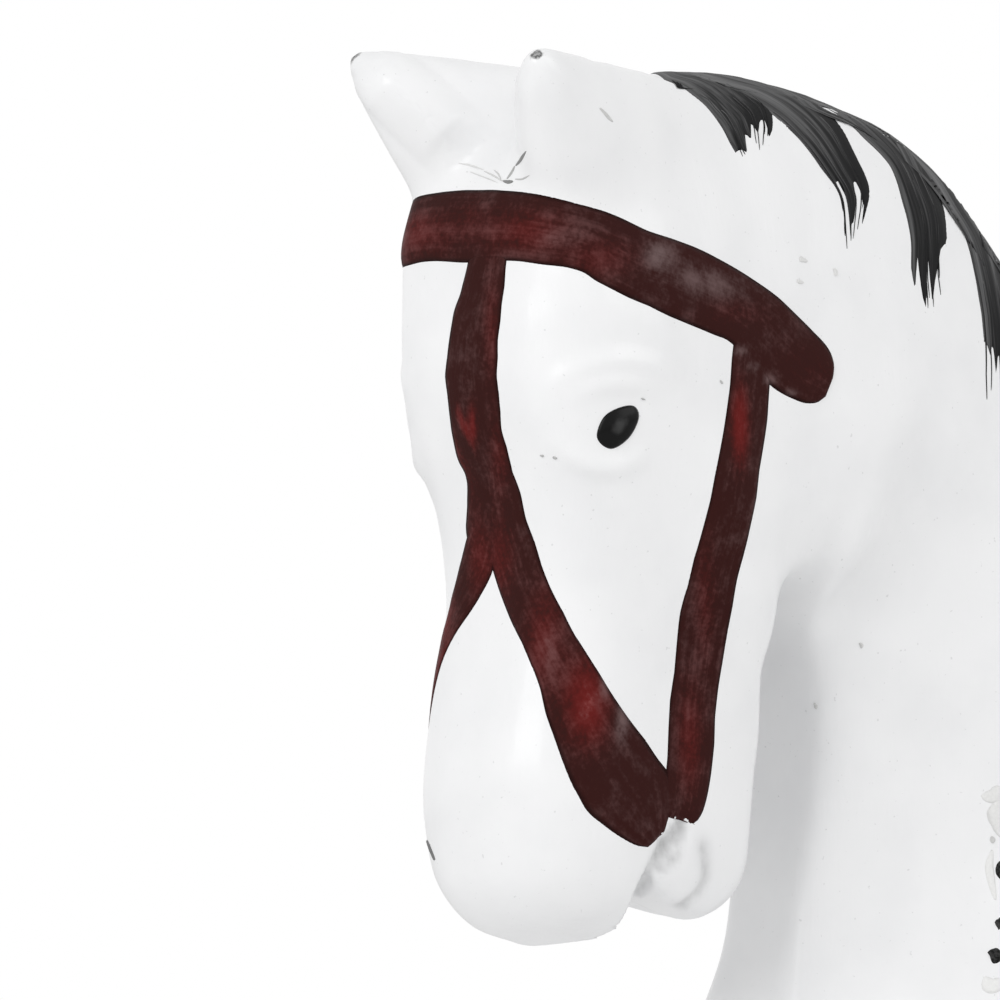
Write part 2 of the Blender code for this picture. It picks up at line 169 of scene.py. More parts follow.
HIND_LEG_SLICES = (
    (0.1280, -0.0010, 0.0200, 0.0120, -0.0095),
    (0.1180, 0.0010, 0.0310, 0.0185, -0.0045),
    (0.1050, 0.0010, 0.0355, 0.0206, -0.0008),
    (0.0900, -0.0015, 0.0310, 0.0200, 0.0005),
    (0.0790, -0.0030, 0.0252, 0.0178, 0.0005),
    (0.0680, -0.0020, 0.0198, 0.0152, 0.0003),
    (0.0580, 0.0012, 0.0160, 0.0130, 0.0000),
    (0.0490, 0.0038, 0.0160, 0.0124, 0.0000),
    (0.0420, 0.0038, 0.0132, 0.0112, 0.0000),
    (0.0310, 0.0028, 0.0112, 0.0098, 0.0000),
    (0.0215, 0.0018, 0.0112, 0.0098, 0.0000),
    (0.0155, 0.0014, 0.0136, 0.0114, 0.0000),
)
# Centre in x, setback and height, then the height and the thickness of each slice of an ear, root first.
EAR_SLICES = (
    (0.0035, 0.0160, 0.1885, 0.0190, 0.0120),
    (0.0056, 0.0095, 0.1908, 0.0172, 0.0112),
    (0.0080, 0.0033, 0.1942, 0.0116, 0.0084),
    (0.0102, -0.0010, 0.1975, 0.0056, 0.0046),
    (0.0111, -0.0027, 0.1990, 0.0022, 0.0022),
    (0.0114, -0.0032, 0.1994, 0.0006, 0.0006),
)
# Outer setback and height, inner setback and height and share of the tail's width, from the croup down.
TAIL_SLICES = (
    (0.1480, 0.1275, 0.1480, 0.1185, 0.50),
    (0.1565, 0.1300, 0.1555, 0.1188, 0.58),
    (0.1645, 0.1300, 0.1600, 0.1172, 0.70),
    (0.1718, 0.1235, 0.1630, 0.1125, 0.84),
    (0.1758, 0.1105, 0.1645, 0.1030, 0.96),
    (0.1768, 0.0940, 0.1650, 0.0905, 1.00),
    (0.1755, 0.0780, 0.1648, 0.0775, 0.90),
    (0.1718, 0.0640, 0.1638, 0.0655, 0.66),
    (0.1668, 0.0548, 0.1622, 0.0565, 0.36),
    (0.1640, 0.0515, 0.1630, 0.0522, 0.10),
)
print("slices:", len(NECK_SLICES) + len(HEAD_SLICES), "for the head and neck")

# %% [markdown]
# ## From slices to a skin
# A stack of slices becomes a surface of two parameters: how far along the stack, and how far round the
# slice. Between the rows a Catmull-Rom curve keeps the surface smooth, so a few rows are enough for a whole
# neck.

# %% Curves and lofts
STEPS = 8
SIDES = 72


def smooth_rows(rows, steps=STEPS):
    """Catmull-Rom curve: between two rows b and c, with a before and d after them, the value at share t is
    b + t/2 (c - a + t (2a - 5b + 4c - d + t (3b - 3c + d - a)))."""
    rows = np.asarray(rows, float)
    knots = np.vstack([2 * rows[0] - rows[1], rows, 2 * rows[-1] - rows[-2]])
    t = np.linspace(0, 1, steps, endpoint=False)[:, None]
    a, b, c, d = knots[:-3, None], knots[1:-2, None], knots[2:-1, None], knots[3:, None]
    curve = b + 0.5 * t * (c - a + t * (2 * a - 5 * b + 4 * c - d + t * (3 * (b - c) + d - a)))
    return np.vstack([curve.reshape(-1, rows.shape[1]), rows[-1:]])


def signed_power(value, power):
    """The value's size to a power, with its sign kept."""
    return np.sign(value) * np.abs(value) ** power


def rings(centre, outward, sideways, taper, squareness, inner_taper, inner_squareness):
    """Soft squares: centre + outward C + sideways S (1 - taper C), where C and S are the cosine and the sine
    of the turn, each to the power 2 / squareness. The half with a negative cosine has its own two values."""
    turn = np.linspace(0, 2 * np.pi, SIDES, endpoint=False)[None, :]
    inner = np.cos(turn) < 0
    power, taper = 2 / np.where(inner, inner_squareness, squareness), np.where(inner, inner_taper, taper)
    along = signed_power(np.cos(turn), power)
    across = signed_power(np.sin(turn), power) * (1 - taper * along)
    return centre[:, None] + along[..., None] * outward[:, None] + across[..., None] * sideways[:, None]


def side_rings(outer, inner, half_width, taper=0.0, squareness=SQUARENESS, *inner_shape, x=0.0):
    """Rings between outer and inner points of the side view, each a setback and a height."""
    count = len(outer)
    column = np.ones((count, 1))
    front = np.hstack([column * x, FOREHEAD_Y + outer[:, :1], outer[:, 1:]])
    back = np.hstack([column * x, FOREHEAD_Y + inner[:, :1], inner[:, 1:]])
    sideways = np.hstack([np.reshape(half_width, (count, 1)), column * 0, column * 0])
    shape = [np.reshape(value, (-1, 1)) * column for value in (taper, squareness)]
    inner_shape = [np.reshape(value, (-1, 1)) for value in inner_shape] or shape
    return rings((front + back) / 2, (front - back) / 2, sideways, *shape, *inner_shape)


def closed_skin(grid):
    """Points and faces over a stack of rings, with a pole in the middle of each end ring."""
    count, sides = grid.shape[:2]
    points = np.vstack([grid.reshape(-1, 3), grid[0].mean(0), grid[-1].mean(0)])
    row, column = np.meshgrid(np.arange(count - 1), np.arange(sides), indexing="ij")
    here, beside = row * sides + column, row * sides + (column + 1) % sides
    quads = np.stack([here, beside, beside + sides, here + sides], -1).reshape(-1, 4)
    first, after = np.arange(sides), (np.arange(sides) + 1) % sides
    last = (count - 1) * sides
    start = np.stack([after, first, np.full(sides, count * sides)], -1)
    end = np.stack([last + first, last + after, np.full(sides, count * sides + 1)], -1)
    corners = np.vstack([quads[:, [0, 1, 2]], quads[:, [0, 2, 3]], start, end])
    a, b, c = points[corners[:, 0]], points[corners[:, 1]], points[corners[:, 2]]
    inside_out = np.einsum("ij,ij->i", a, np.cross(b, c)).sum() < 0
    faces = quads.tolist() + start.tolist() + end.tolist()
    return points, [face[::-1] for face in faces] if inside_out else faces


# %% [markdown]
# ## Meshes as arrays
# Blender keeps a mesh as lists of points, edges and faces. These functions copy such a list into an array
# and back, so that one formula can move a whole skin.

# %% Objects and arrays
def linked(name, data):
    """A new object in the scene, at the origin."""
    made = bpy.data.objects.new(name, data)
    bpy.context.scene.collection.objects.link(made)
    return made


def new_object(name, points, faces):
    """An object whose mesh holds these points and faces."""
    mesh = bpy.data.meshes.new(name)
    mesh.from_pydata(np.asarray(points).tolist(), [], faces)
    mesh.validate()
    return linked(name, mesh)


def settled(made):
    """Apply an object's modifiers: its mesh becomes what they show."""
    seen = made.evaluated_get(bpy.context.evaluated_depsgraph_get())
    mesh = bpy.data.meshes.new_from_object(seen)
    made.modifiers.clear()
    old, made.data = made.data, mesh
    bpy.data.meshes.remove(old)
    return made


def discard(*objects):
    """Remove helper objects."""
    for helper in objects:
        bpy.data.objects.remove(helper, do_unlink=True)


def read(items, label, width=3, kind=float):
    """One property of all points, edges or attribute values, a row for each."""
    values = np.empty(len(items) * width, kind)
    items.foreach_get(label, values)
    return values.reshape(-1, width)


def coordinates(made):
    """The mesh's points."""
    return read(made.data.vertices, "co")


def directions(made):
    """The mesh's normals at its points."""
    return read(made.data.vertices, "normal")


def face_corners(made):
    """The numbers of each face's points."""
    return [tuple(face.vertices) for face in made.data.polygons]


def move_points(made, points):
    """Write an array of points back to the mesh."""
    made.data.vertices.foreach_set("co", np.ravel(points))
    made.data.update()


def note(made, label, values):
    """Keep one number at each point of an object."""
    kept_values = made.data.attributes.new(label, "FLOAT", "POINT").data
    kept_values.foreach_set("value", np.asarray(values, np.float32))


def shade_smooth(mesh):
    """Let light run on across the edges between faces."""
    mesh.polygons.foreach_set("use_smooth", np.ones(len(mesh.polygons), bool))


def tree_of(made):
    """A search tree of an object's faces, for rays and nearest points."""
    return BVHTree.FromPolygons(coordinates(made).tolist(), face_corners(made))


# %% [markdown]
# ## The forms
# Head and neck are one fan of slices that turns over the throat. The barrel is a row of upright slices,
# each leg a stack of level ones. An ear is a horn that leans forwards and outwards. The mouth is a notch
# sawn across the muzzle.

# %% Head, neck, barrel, legs, ears and tail
NECK_FRONT_SQUARENESS = 7.0
NECK_FRONT_TAPERS = (-0.45, -0.65, -0.50, -0.40, -0.35)
NECK_FRONT_ROWS = slice(1, 6)
MOUTH_NOTCH = ((0.0142, 0.1356), (0.0100, 0.1304), (0.0098, 0.1290), (0.0102, 0.1272), (0.0111, 0.1253),
               (0.0114, 0.1225), (0.0220, 0.1225), (0.0200, 0.1275), (0.0172, 0.1281), (0.0150, 0.1289),
               (0.0128, 0.1298), (0.0112, 0.1306))


def neck_and_head():
    """The fan of slices from the withers over the poll to the lips."""
    neck, head = np.array(NECK_SLICES), np.array(HEAD_SLICES)
    neck[:, 4] *= NECK_WIDTH / 2
    head[:, 4] *= HEAD_WIDTH / 2
    table = np.vstack([neck, head])
    inner = table[:, 5:].copy()
    inner[NECK_FRONT_ROWS, 0] = NECK_FRONT_TAPERS
    inner[NECK_FRONT_ROWS, 1] = NECK_FRONT_SQUARENESS
    rows = smooth_rows(np.hstack([table, inner]))
    return closed_skin(side_rings(rows[:, 0:2], rows[:, 2:4], *rows[:, 4:].T))


def barrel():
    """Upright slices from the chest to the rump."""
    rows = smooth_rows(TRUNK_SLICES)
    half_width = rows[:, 3] * BARREL_WIDTH / 2
    return closed_skin(side_rings(rows[:, [0, 1]], rows[:, [0, 2]], half_width, rows[:, 4]))


def leg(slices, setback, side):
    """Level slices from inside the barrel to the sole, with a flared hoof."""
    _, shift, depth, width, outward = slices[-1]
    hoof = ((HOOF_HEIGHT + PASTERN_RISE, shift / 2, depth * PASTERN_SHARE, width * PASTERN_SHARE, outward),
            (HOOF_HEIGHT, 0.0, HOOF_LENGTH * CORONET_SHARE, HOOF_WIDTH * CORONET_SHARE, outward),
            (0.0, -HOOF_LEAN, HOOF_LENGTH, HOOF_WIDTH, outward))
    height, shift, depth, width, outward = smooth_rows(np.vstack([slices, hoof])).T
    front = setback + shift - depth / 2
    outer, inner = np.stack([front, height], -1), np.stack([front + depth, height], -1)
    x = (side * (LEG_SPREAD / 2 + outward))[:, None]
    return closed_skin(side_rings(outer, inner, width / 2, x=x))


def ear(side):
    """Slices square to the line from the ear's root to its tip, tall at the root and pointed at the tip."""
    rows = smooth_rows(EAR_SLICES)
    centre = rows[:, :3] + (0, FOREHEAD_Y, 0)
    axis = (centre[-1] - centre[0]) / np.linalg.norm(centre[-1] - centre[0])
    flat = np.cross(axis, (0, 0, 1))
    flat /= np.linalg.norm(flat)
    tall = np.cross(flat, axis)
    plain = np.ones((len(rows), 1))
    shape = [plain * 0, plain * SQUARENESS]
    grid = rings(centre, tall * rows[:, 3:4] / 2, flat * rows[:, 4:5] / 2, *shape, *shape)
    return closed_skin(grid * (side, 1, 1))


def tail():
    """The tail leaves the croup, arches back and hangs down."""
    rows = smooth_rows(TAIL_SLICES)
    return closed_skin(side_rings(rows[:, 0:2], rows[:, 2:4], rows[:, 4] * TAIL_WIDTH / 2))


def notched(form, outline, reach):
    """Saw a prism out of a form: the outline in the side view, carried across from -reach to reach."""
    flat = np.array(outline) + (FOREHEAD_Y, 0)
    across = np.array([[-reach], [reach]])[:, None] * np.ones((1, len(flat), 1))
    blade = new_object("notch", *closed_skin(np.concatenate([across, np.stack([flat, flat])], -1)))
    block = new_object("block", *form)
    cut = block.modifiers.new("notch", "BOOLEAN")
    cut.operation, cut.solver, cut.object = "DIFFERENCE", "EXACT", blade
    settled(block)
    sawn = coordinates(block), face_corners(block)
    discard(block, blade)
    return sawn


head_form = notched(neck_and_head(), MOUTH_NOTCH, HEAD_WIDTH)
legs = [leg(slices, setback, side) for side in (1, -1)
        for slices, setback in ((FRONT_LEG_SLICES, FRONT_LEG_SETBACK), (HIND_LEG_SLICES, HIND_LEG_SETBACK))]
barrel_form, tail_form, ear_forms = barrel(), tail(), [ear(1), ear(-1)]
print("head form:", len(head_form[0]), "points; a leg:", len(legs[0][0]))

# %% [markdown]
# ## One carved skin
# Forms that merely pass through each other would show hard lines where they cross. A voxel remesh melts
# them into one closed skin, as the carver's rasp and several coats of paint do. A few rounds of smoothing
# then take the steps of the voxels away; every second round pushes back out, so that the shape doesn't
# shrink.

# %% Melt the forms together
FINE_VOXEL = 0.00045
COARSE_VOXEL = 0.00056
LEAST_SHARE = 0.002
SMOOTH_ROUNDS, SMOOTH_STEPS = 6, (0.5, -0.52)


def melted(name, forms, voxel):
    """One closed skin round several closed forms."""
    points, faces, start = [], [], 0
    for form_points, form_faces in forms:
        points.append(form_points)
        faces += [tuple(start + corner for corner in face) for face in form_faces]
        start += len(form_points)
    skin = new_object(name, np.vstack(points), faces)
    remesh = skin.modifiers.new("melt", "REMESH")
    remesh.mode, remesh.voxel_size = "VOXEL", voxel
    return settled(skin)


def relax(made, rounds, steps, share=1.0):
    """In each round, and for each step in turn, move every point by step times share towards the mean of its
    neighbours. Points with next to no share stay where they are."""
    points = coordinates(made)
    edges = read(made.data.edges, "vertices", 2, np.int32)
    here, there = np.concatenate([edges, edges[:, ::-1]]).T
    weight = np.reshape(share, (-1, 1)) * np.ones((len(points), 1))
    live = np.flatnonzero(weight > LEAST_SHARE)
    order = np.full(len(points), -1)
    order[live] = np.arange(len(live))
    near = order[here] >= 0
    here, there = order[here[near]], there[near]
    degree = np.bincount(here, minlength=len(live))[:, None]
    for step in steps * rounds:
        total = np.stack([np.bincount(here, points[there, axis], len(live)) for axis in range(3)], -1)
        points[live] += step * weight[live] * (total / degree - points[live])
    move_points(made, points)


fore = melted("fore", [head_form, barrel_form, *ear_forms], FINE_VOXEL)
rear = melted("rear", [head_form, barrel_form, *legs, tail_form], COARSE_VOXEL)
for skin in (fore, rear):
    relax(skin, SMOOTH_ROUNDS, SMOOTH_STEPS)
    print(skin.name, "skin:", len(skin.data.vertices), "points")

# %% [markdown]
# ## Fill the corners
# Filler and paint round off the corners where two forms meet. About each spot the skin is relaxed over and
# over, and less the farther a point lies from it, so a corner sags into a soft hollow.

# %% Fill round the ears, at the shoulders and above the legs
FILL_STEPS = (0.5,)
# Each fill is a spot as x, setback and height, a reach and the rounds of relaxing.
EAR_FILLS = (((0.0085, 0.0180, 0.1900), 0.0075, 60), ((0.0105, 0.0075, 0.1880), 0.0060, 90),
             ((0.0000, 0.0050, 0.1895), 0.0060, 60), ((0.0030, 0.0035, 0.1925), 0.0060, 140),
             ((0.0055, 0.0200, 0.1945), 0.0060, 120))
LEG_FILLS = (((0.0150, 0.0330, 0.0900), 0.0100, 60), ((0.0000, 0.0320, 0.0850), 0.0100, 40),
             ((0.0160, 0.1270, 0.0900), 0.0100, 60))
SHOULDER_FILLS = (((0.0170, 0.0560, 0.1215), 0.0130, 160), ((0.0130, 0.0330, 0.1160), 0.0100, 120),
                  ((0.0145, 0.0560, 0.1400), 0.0110, 90), ((0.0180, 0.0780, 0.1240), 0.0120, 120))


def near_spot(points, spot, reach):
    """exp(-(distance / reach)^2), measured on the left side and its mirror image alike."""
    return np.exp(-((left_side(points) - spot) ** 2).sum(-1) / reach ** 2)


for skin, voxel, fills in ((fore, FINE_VOXEL, EAR_FILLS), (rear, COARSE_VOXEL, LEG_FILLS)):
    finer = (COARSE_VOXEL / voxel) ** 2
    shared = [(spot, reach, round(rounds * finer)) for spot, reach, rounds in SHOULDER_FILLS]
    for (x, setback, height), reach, rounds in (*fills, *shared):
        share = near_spot(coordinates(skin), (x, FOREHEAD_Y + setback, height), reach)
        relax(skin, rounds, FILL_STEPS, share)
    print(skin.name, "skin:", len(fills) + len(shared), "corners filled")

# %% [markdown]
# ## Knife work
# The finer forms are cut into the skin by moving its points along their normals. Each cut follows a line
# that is drawn in the picture and sent to the skin along the camera's rays, and how far a point moves
# depends on its gap to that line.

# %% Lines on the skin
LINE_REACH = 0.005
BESIDE_LOOKS = 8
CURVE_STEPS = 12
LONG_LINE, SHORT_LINE = 60, 40


def on_skin(pixels):
    """The points of the skin that the camera sees at these pixels, or the nearest ones beside the outline."""
    start = Vector(camera_place)
    rays = [(Vector(point) - start).normalized() for point in picture_points(pixels)]
    return np.array([skin_tree.ray_cast(start, ray)[0] or beside(start, ray) for ray in rays])


def beside(start, ray):
    """The point of the skin nearest to a ray that misses it: look from a place on the ray, move that place
    level with what was found, and look again."""
    reach = CAMERA_DISTANCE
    for _ in range(BESIDE_LOOKS):
        found = skin_tree.find_nearest(start + reach * ray)[0]
        reach = (found - start).dot(ray)
    return found


def trace(points, count):
    """Even steps along a smooth curve through the points."""
    curve = smooth_rows(points, CURVE_STEPS)
    length = np.append(0, np.cumsum(np.linalg.norm(np.diff(curve, axis=0), axis=1)))
    spots = np.linspace(0, length[-1], count)
    return np.stack([np.interp(spots, length, values) for values in curve.T], -1)


def drawn(line, steps):
    """A line of the picture as even steps on the skin."""
    return on_skin(trace(line, steps))


def line_gap(points, line):
    """How far each point lies from a line on the left side, or from its mirror image, and the share of the
    line that is nearest to it."""
    both = left_side(points)
    near = np.flatnonzero((np.abs(both - line.mean(0)) < np.ptp(line, axis=0) / 2 + LINE_REACH).all(-1))
    apart = np.linalg.norm(both[near, None] - line, axis=-1)
    gap, share = np.ones(len(points)), np.zeros(len(points))
    gap[near], share[near] = apart.min(-1), apart.argmin(-1) / (len(line) - 1)
    return gap, share


skin_tree = tree_of(fore)
print("skin to draw on:", len(fore.data.polygons), "faces")

# %% [markdown]
# ## The mouth and the fold behind the chin
# The mouth is a groove with a few beads of paint left in it, and a fold in the shape of a J runs behind the
# chin. Grey shade is painted into both, so each point keeps a number that says how much painted shade lies
# there; the beads stand out of it.

# %% Cut the mouth and the fold
MOUTH_LINE = ((681, 828), (671, 847), (660, 864), (648, 880), (636, 893))
MOUTH_DEPTH, MOUTH_HALF = 0.0006, 0.0012
MOUTH_STOPS, MOUTH_SHARES, MOUTH_SHADE = (0, 0.3, 0.6, 1), (0.6, 1.2, 0.8, 0.3), (0.8, 1.1, 0.7, 0.3)
BEADS = ((675, 851), (666, 861), (656, 876))
BEAD_HEIGHT, BEAD_REACH, BEAD_UNSHADED = 0.00045, 0.0006, 0.8
FOLD_LINE = ((704, 848), (707, 868), (703, 886), (693, 899), (681, 907))
FOLD_DEPTH, FOLD_HALF, FOLD_SHADE = 0.00035, 0.0007, 0.6

points = coordinates(fore)
rise = np.zeros(len(points))
gap, share = line_gap(points, drawn(MOUTH_LINE, LONG_LINE))
hollow = np.exp(-(gap / MOUTH_HALF / np.interp(share, MOUTH_STOPS, MOUTH_SHARES)) ** 4)
rise -= MOUTH_DEPTH * hollow
# Painted shade: how much grey the groove gets along its length, most in its upper middle.
hollow *= np.interp(share, MOUTH_STOPS, MOUTH_SHADE)
for bead in on_skin(BEADS):
    beaded = near_spot(points, bead, BEAD_REACH)
    rise += BEAD_HEIGHT * beaded
    hollow *= 1 - BEAD_UNSHADED * beaded
gap, share = line_gap(points, drawn(FOLD_LINE, SHORT_LINE))
folded = np.exp(-(gap / FOLD_HALF) ** 2)
hollow += FOLD_SHADE * folded
rise -= FOLD_DEPTH * folded
print("deepest cut:", round(-1000 * rise.min(), 2), "mm")

# %% [markdown]
# ## Brows, ears, crest and throat
# Two brows and a lower lid stand round the eye, and a ridge runs along each ear, much fainter on the left
# one. The poll between the ears is left a little proud, and the crest and the throat are taken down. A sum
# of long waves leaves the surface as uneven as a knife does. Last, the chin's underside is lifted towards
# the right.

# %% Raise and lower the skin
BROW_LINES = (((566, 404), (585, 390), (612, 383), (642, 386), (662, 398)),
              ((550, 400), (562, 380), (590, 366), (625, 361), (655, 369), (680, 386)),
              ((552, 428), (562, 448), (588, 465), (622, 467), (652, 450)))
BROW_HEIGHT, BROW_HALF = 0.00040, 0.0009
EAR_RIDGE = ((362, 60), (400, 92), (435, 125), (468, 158))
RIDGE_HEIGHT, RIDGE_HALF, RIDGE_ENDS, LEFT_RIDGE = 0.0017, 0.0034, 4, 0.25
POLL_SPOT, POLL_HEIGHT, POLL_REACH = (0.0020, FOREHEAD_Y + 0.0200, 0.1975), 0.0006, 0.0065
THROAT_PIXEL, THROAT_DEPTH, THROAT_REACH = (840, 602), 0.0009, 0.0050
WAVE_SEED, WAVES, WAVE_HEIGHT, WAVE_TURN = 3, 9, 0.00004, 330
CHIN_SPOT, CHIN_REACH = (FOREHEAD_Y + 0.0170, 0.1270), (0.0040, 0.0050)
CHIN_LIFT, CHIN_EDGE, CHIN_WIDTH = 0.0023, 0.0040, 0.0080
CREST_ROWS, CREST_START = 9, FOREHEAD_Y + 0.0180
CREST_STEP, CREST_DROP, CREST_REACH, CREST_SKIP = 0.0006, 0.00055, 0.0065, 4
CREST_STOPS, CREST_SHARES = (0, 0.15, 0.3, 0.45, 0.9, 1), (0, 0.6, 0.6, 1, 1, 0)

crest_rows = smooth_rows(np.array(NECK_SLICES + HEAD_SLICES)[:CREST_ROWS, :2])[::-1]
crest = np.hstack([np.zeros((len(crest_rows), 1)), crest_rows + (FOREHEAD_Y, 0)])
crest = trace(crest, int(np.linalg.norm(np.diff(crest, axis=0), axis=1).sum() / CREST_STEP))
crest = crest[crest[:, 1] > CREST_START]

for brow_line in BROW_LINES:
    gap, share = line_gap(points, drawn(brow_line, SHORT_LINE))
    rise += BROW_HEIGHT * np.exp(-(gap / BROW_HALF) ** 2) * np.sin(np.pi * share)
gap, share = line_gap(points, left_side(drawn(EAR_RIDGE, LONG_LINE)))
ridge = np.clip(1 - gap / RIDGE_HALF, 0, 1) * np.clip(RIDGE_ENDS * np.minimum(share, 1 - share), 0, 1)
rise += RIDGE_HEIGHT * ridge * np.where(points[:, 0] < 0, 1, LEFT_RIDGE)
rise += POLL_HEIGHT * near_spot(points, POLL_SPOT, POLL_REACH)
gap, share = line_gap(points, crest[::CREST_SKIP])
rise -= CREST_DROP * np.interp(share, CREST_STOPS, CREST_SHARES) * np.exp(-(gap / CREST_REACH) ** 2)
rise -= THROAT_DEPTH * near_spot(points, on_skin([THROAT_PIXEL])[0], THROAT_REACH)
waves = np.random.default_rng(WAVE_SEED)
for turn in waves.normal(0, WAVE_TURN, (WAVES, 3)):
    rise += WAVE_HEIGHT * np.sin(points @ turn + waves.uniform(0, 2 * np.pi))
lift = CHIN_LIFT * np.exp(-(((points[:, 1:] - CHIN_SPOT) / CHIN_REACH) ** 2).sum(-1))
lift *= np.clip((CHIN_EDGE - points[:, 0]) / CHIN_WIDTH, 0, 1)
move_points(fore, points + rise[:, None] * directions(fore) + lift[:, None] * (0, 0, 1))
# The hollow number is the painted shade of the mouth groove and the fold behind the chin.
note(fore, "hollow", hollow)
skin_tree = tree_of(fore)
print("knife work: from", round(1000 * rise.min(), 2), "to", round(1000 * rise.max(), 2), "mm")

# %% [markdown]
# ## Strands of the tail
# The grooves lie where the sine of a coordinate across the tail is near 0. The coordinate sways with the
# height, so the strands wave as they hang.

# %% Cut strands into the tail
TAIL_START, TAIL_BLEND, TAIL_FOOT = FOREHEAD_Y + 0.1650, 0.003, 0.04
STRAND, STRAND_DEPTH = 0.0022, 0.00045
STRAND_SWAY, SWAY_HEIGHT, STRAND_SLANT = 0.6, 0.011, 0.006
points = coordinates(rear)
x, y, z = points.T
strand = np.abs(np.sin(np.pi * (x / STRAND + STRAND_SWAY * np.sin(z / SWAY_HEIGHT) + y / STRAND_SLANT)))
hang = np.clip((y - TAIL_START) / TAIL_BLEND, 0, 1) * (z > TAIL_FOOT)
groove = STRAND_DEPTH * hang * (1 - strand) ** 2
move_points(rear, points - groove[:, None] * directions(rear))
print("grooves of the tail:", round(1000 * groove.max(), 2), "mm deep")

# %% [markdown]
# ## Cut the skin at the joints
# The real horse is glued from blocks, so the skin is cut where the blocks meet: at the neck, at the ears'
# roots, above the legs and at the tail. Each cut is closed with a flat face, and only its rim is a sharp
# edge.

# %% Saw the skin into blocks
NECK_LEAN = math.radians(14.6)
NECK_SEAT = ((0, FOREHEAD_Y + 0.0640, 0.1240), (0, -math.sin(NECK_LEAN), math.cos(NECK_LEAN)))
EAR_LEAN = (math.tan(math.radians(27)), -math.tan(math.radians(21)), 1.0)
EAR_X, EAR_SETBACK, EAR_HEIGHT = EAR_SLICES[2][:3]
EAR_SEATS = {side: ((side * EAR_X, FOREHEAD_Y + EAR_SETBACK, EAR_HEIGHT),
                    (side * EAR_LEAN[0], *EAR_LEAN[1:])) for side in (1, -1)}
TAIL_SEAT = ((0, FOREHEAD_Y + 0.1620, 0.1230), (0, 1, 0))
LEG_SEAT = ((0, 0, 0.0720), (0, 0, 1))
# Each cut is a seat, and whether the part above it is kept.
HEAD_CUTS = [(NECK_SEAT, True), (EAR_SEATS[1], False), (EAR_SEATS[-1], False)]
TRUNK_CUTS = [(TAIL_SEAT, False), (NECK_SEAT, False), (LEG_SEAT, True)]
LEG_CUTS = [(TAIL_SEAT, False), (LEG_SEAT, False)]
SAW_TOLERANCE = 1e-7
EARS_FROM = 0.18


def kept(name, skin, cuts, region=None):
    """A closed block: the part of a skin that all the cuts keep, and of that the points in the region."""
    form = bmesh.new()
    form.from_mesh(skin.data)
    for (spot, normal), above in cuts:
        everything = form.verts[:] + form.edges[:] + form.faces[:]
        bmesh.ops.bisect_plane(form, geom=everything, dist=SAW_TOLERANCE, plane_co=spot, plane_no=normal,
                               clear_inner=above, clear_outer=not above)
        rim = [edge for edge in form.edges if edge.is_boundary]
        bmesh.ops.holes_fill(form, edges=rim)
        for edge in rim:
            edge.smooth = False
    if region:
        outside = [vert for vert in form.verts if not region(vert.co)]
        bmesh.ops.delete(form, geom=outside, context="VERTS")
    bmesh.ops.triangulate(form, faces=[face for face in form.faces if len(face.verts) > 4])
    mesh = bpy.data.meshes.new(name)
    form.to_mesh(mesh)
    form.free()
    shade_smooth(mesh)
    return linked(name, mesh)


blocks = {"head_and_neck": kept("carved_head", fore, HEAD_CUTS)}
for hand, side in (("left", 1), ("right", -1)):
    blocks[f"{hand}_ear"] = kept(f"carved_{hand}_ear", fore, [(EAR_SEATS[side], True)],
                                 lambda v, s=side: v.x * s > 0 and v.z > EARS_FROM)
    for end, sense in (("front", -1), ("hind", 1)):
        blocks[f"{end}_{hand}_leg"] = kept(f"carved_{end}_{hand}_leg", rear, LEG_CUTS,
                                           lambda v, s=side, e=sense: v.x * s > 0 and v.y * e > 0)
blocks["trunk"] = kept("carved_trunk", rear, TRUNK_CUTS)
blocks["tail"] = kept("carved_tail", rear, [(TAIL_SEAT, True)])
for node, block in blocks.items():
    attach(block, "root")
    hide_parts(node)
    print(block.name, len(block.data.polygons), "faces")

# %% [markdown]
# ## Paint laid on the skin
# Brushed paint is a thin film that follows the wood, a little thicker in the middle of the stroke than at
# its edges. Each stroke is a net of two parameters, along the stroke and across it. Its two edges are
# pixels of the picture, sent along the camera's rays to the skin. A Shrinkwrap modifier lays the net on the
# wood, and the film is raised from there.

# %% Nets and films
FILM_SINK = 0.00012
PROBE = 0.001
MIRROR = np.array([-1.0, 1.0, 1.0])
DICE_SEED = 7
dice = np.random.default_rng(DICE_SEED)


def sideways(line):
    """Unit directions square to a line in the picture."""
    ahead = np.gradient(line, axis=0)
    return np.stack([-ahead[:, 1], ahead[:, 0]], -1) / (np.linalg.norm(ahead, axis=1)[:, None] + 1e-9)


def wavering(line, amount):
    """Push a line in the picture sideways by a smooth random amount, as an unsteady hand does."""
    knots = np.linspace(0, len(line) - 1, max(len(line) // 5, 3))
    push = np.interp(np.arange(len(line)), knots, dice.normal(0, amount, len(knots)))
    return line + push[:, None] * sideways(line)


def between(one, other, columns):
    """A net between two edges."""
    across = np.linspace(0, 1, columns)[:, None]
    return one[:, None] * (1 - across) + other[:, None] * across


def net_on_skin(net):
    """A net of pixels sent to the skin."""
    return on_skin(net.reshape(-1, 2)).reshape(*net.shape[:2], 3)


def laid(net):
    """A net moved to the nearest points of the skin, and the skin's direction outwards at each of them."""
    sheet = new_object("net", net.reshape(-1, 3), [])
    wrap = sheet.modifiers.new("lay", "SHRINKWRAP")
    wrap.target, wrap.wrap_method, wrap.wrap_mode = fore, "NEAREST_SURFACEPOINT", "ABOVE_SURFACE"
    layers = []
    for lift in (0.0, PROBE):
        wrap.offset = lift
        bpy.context.view_layer.update()
        seen = sheet.evaluated_get(bpy.context.evaluated_depsgraph_get())
        layers.append(coordinates(seen).reshape(net.shape))
    discard(sheet)
    outwards = layers[1] - layers[0]
    return layers[0], outwards / np.linalg.norm(outwards, axis=-1)[..., None]


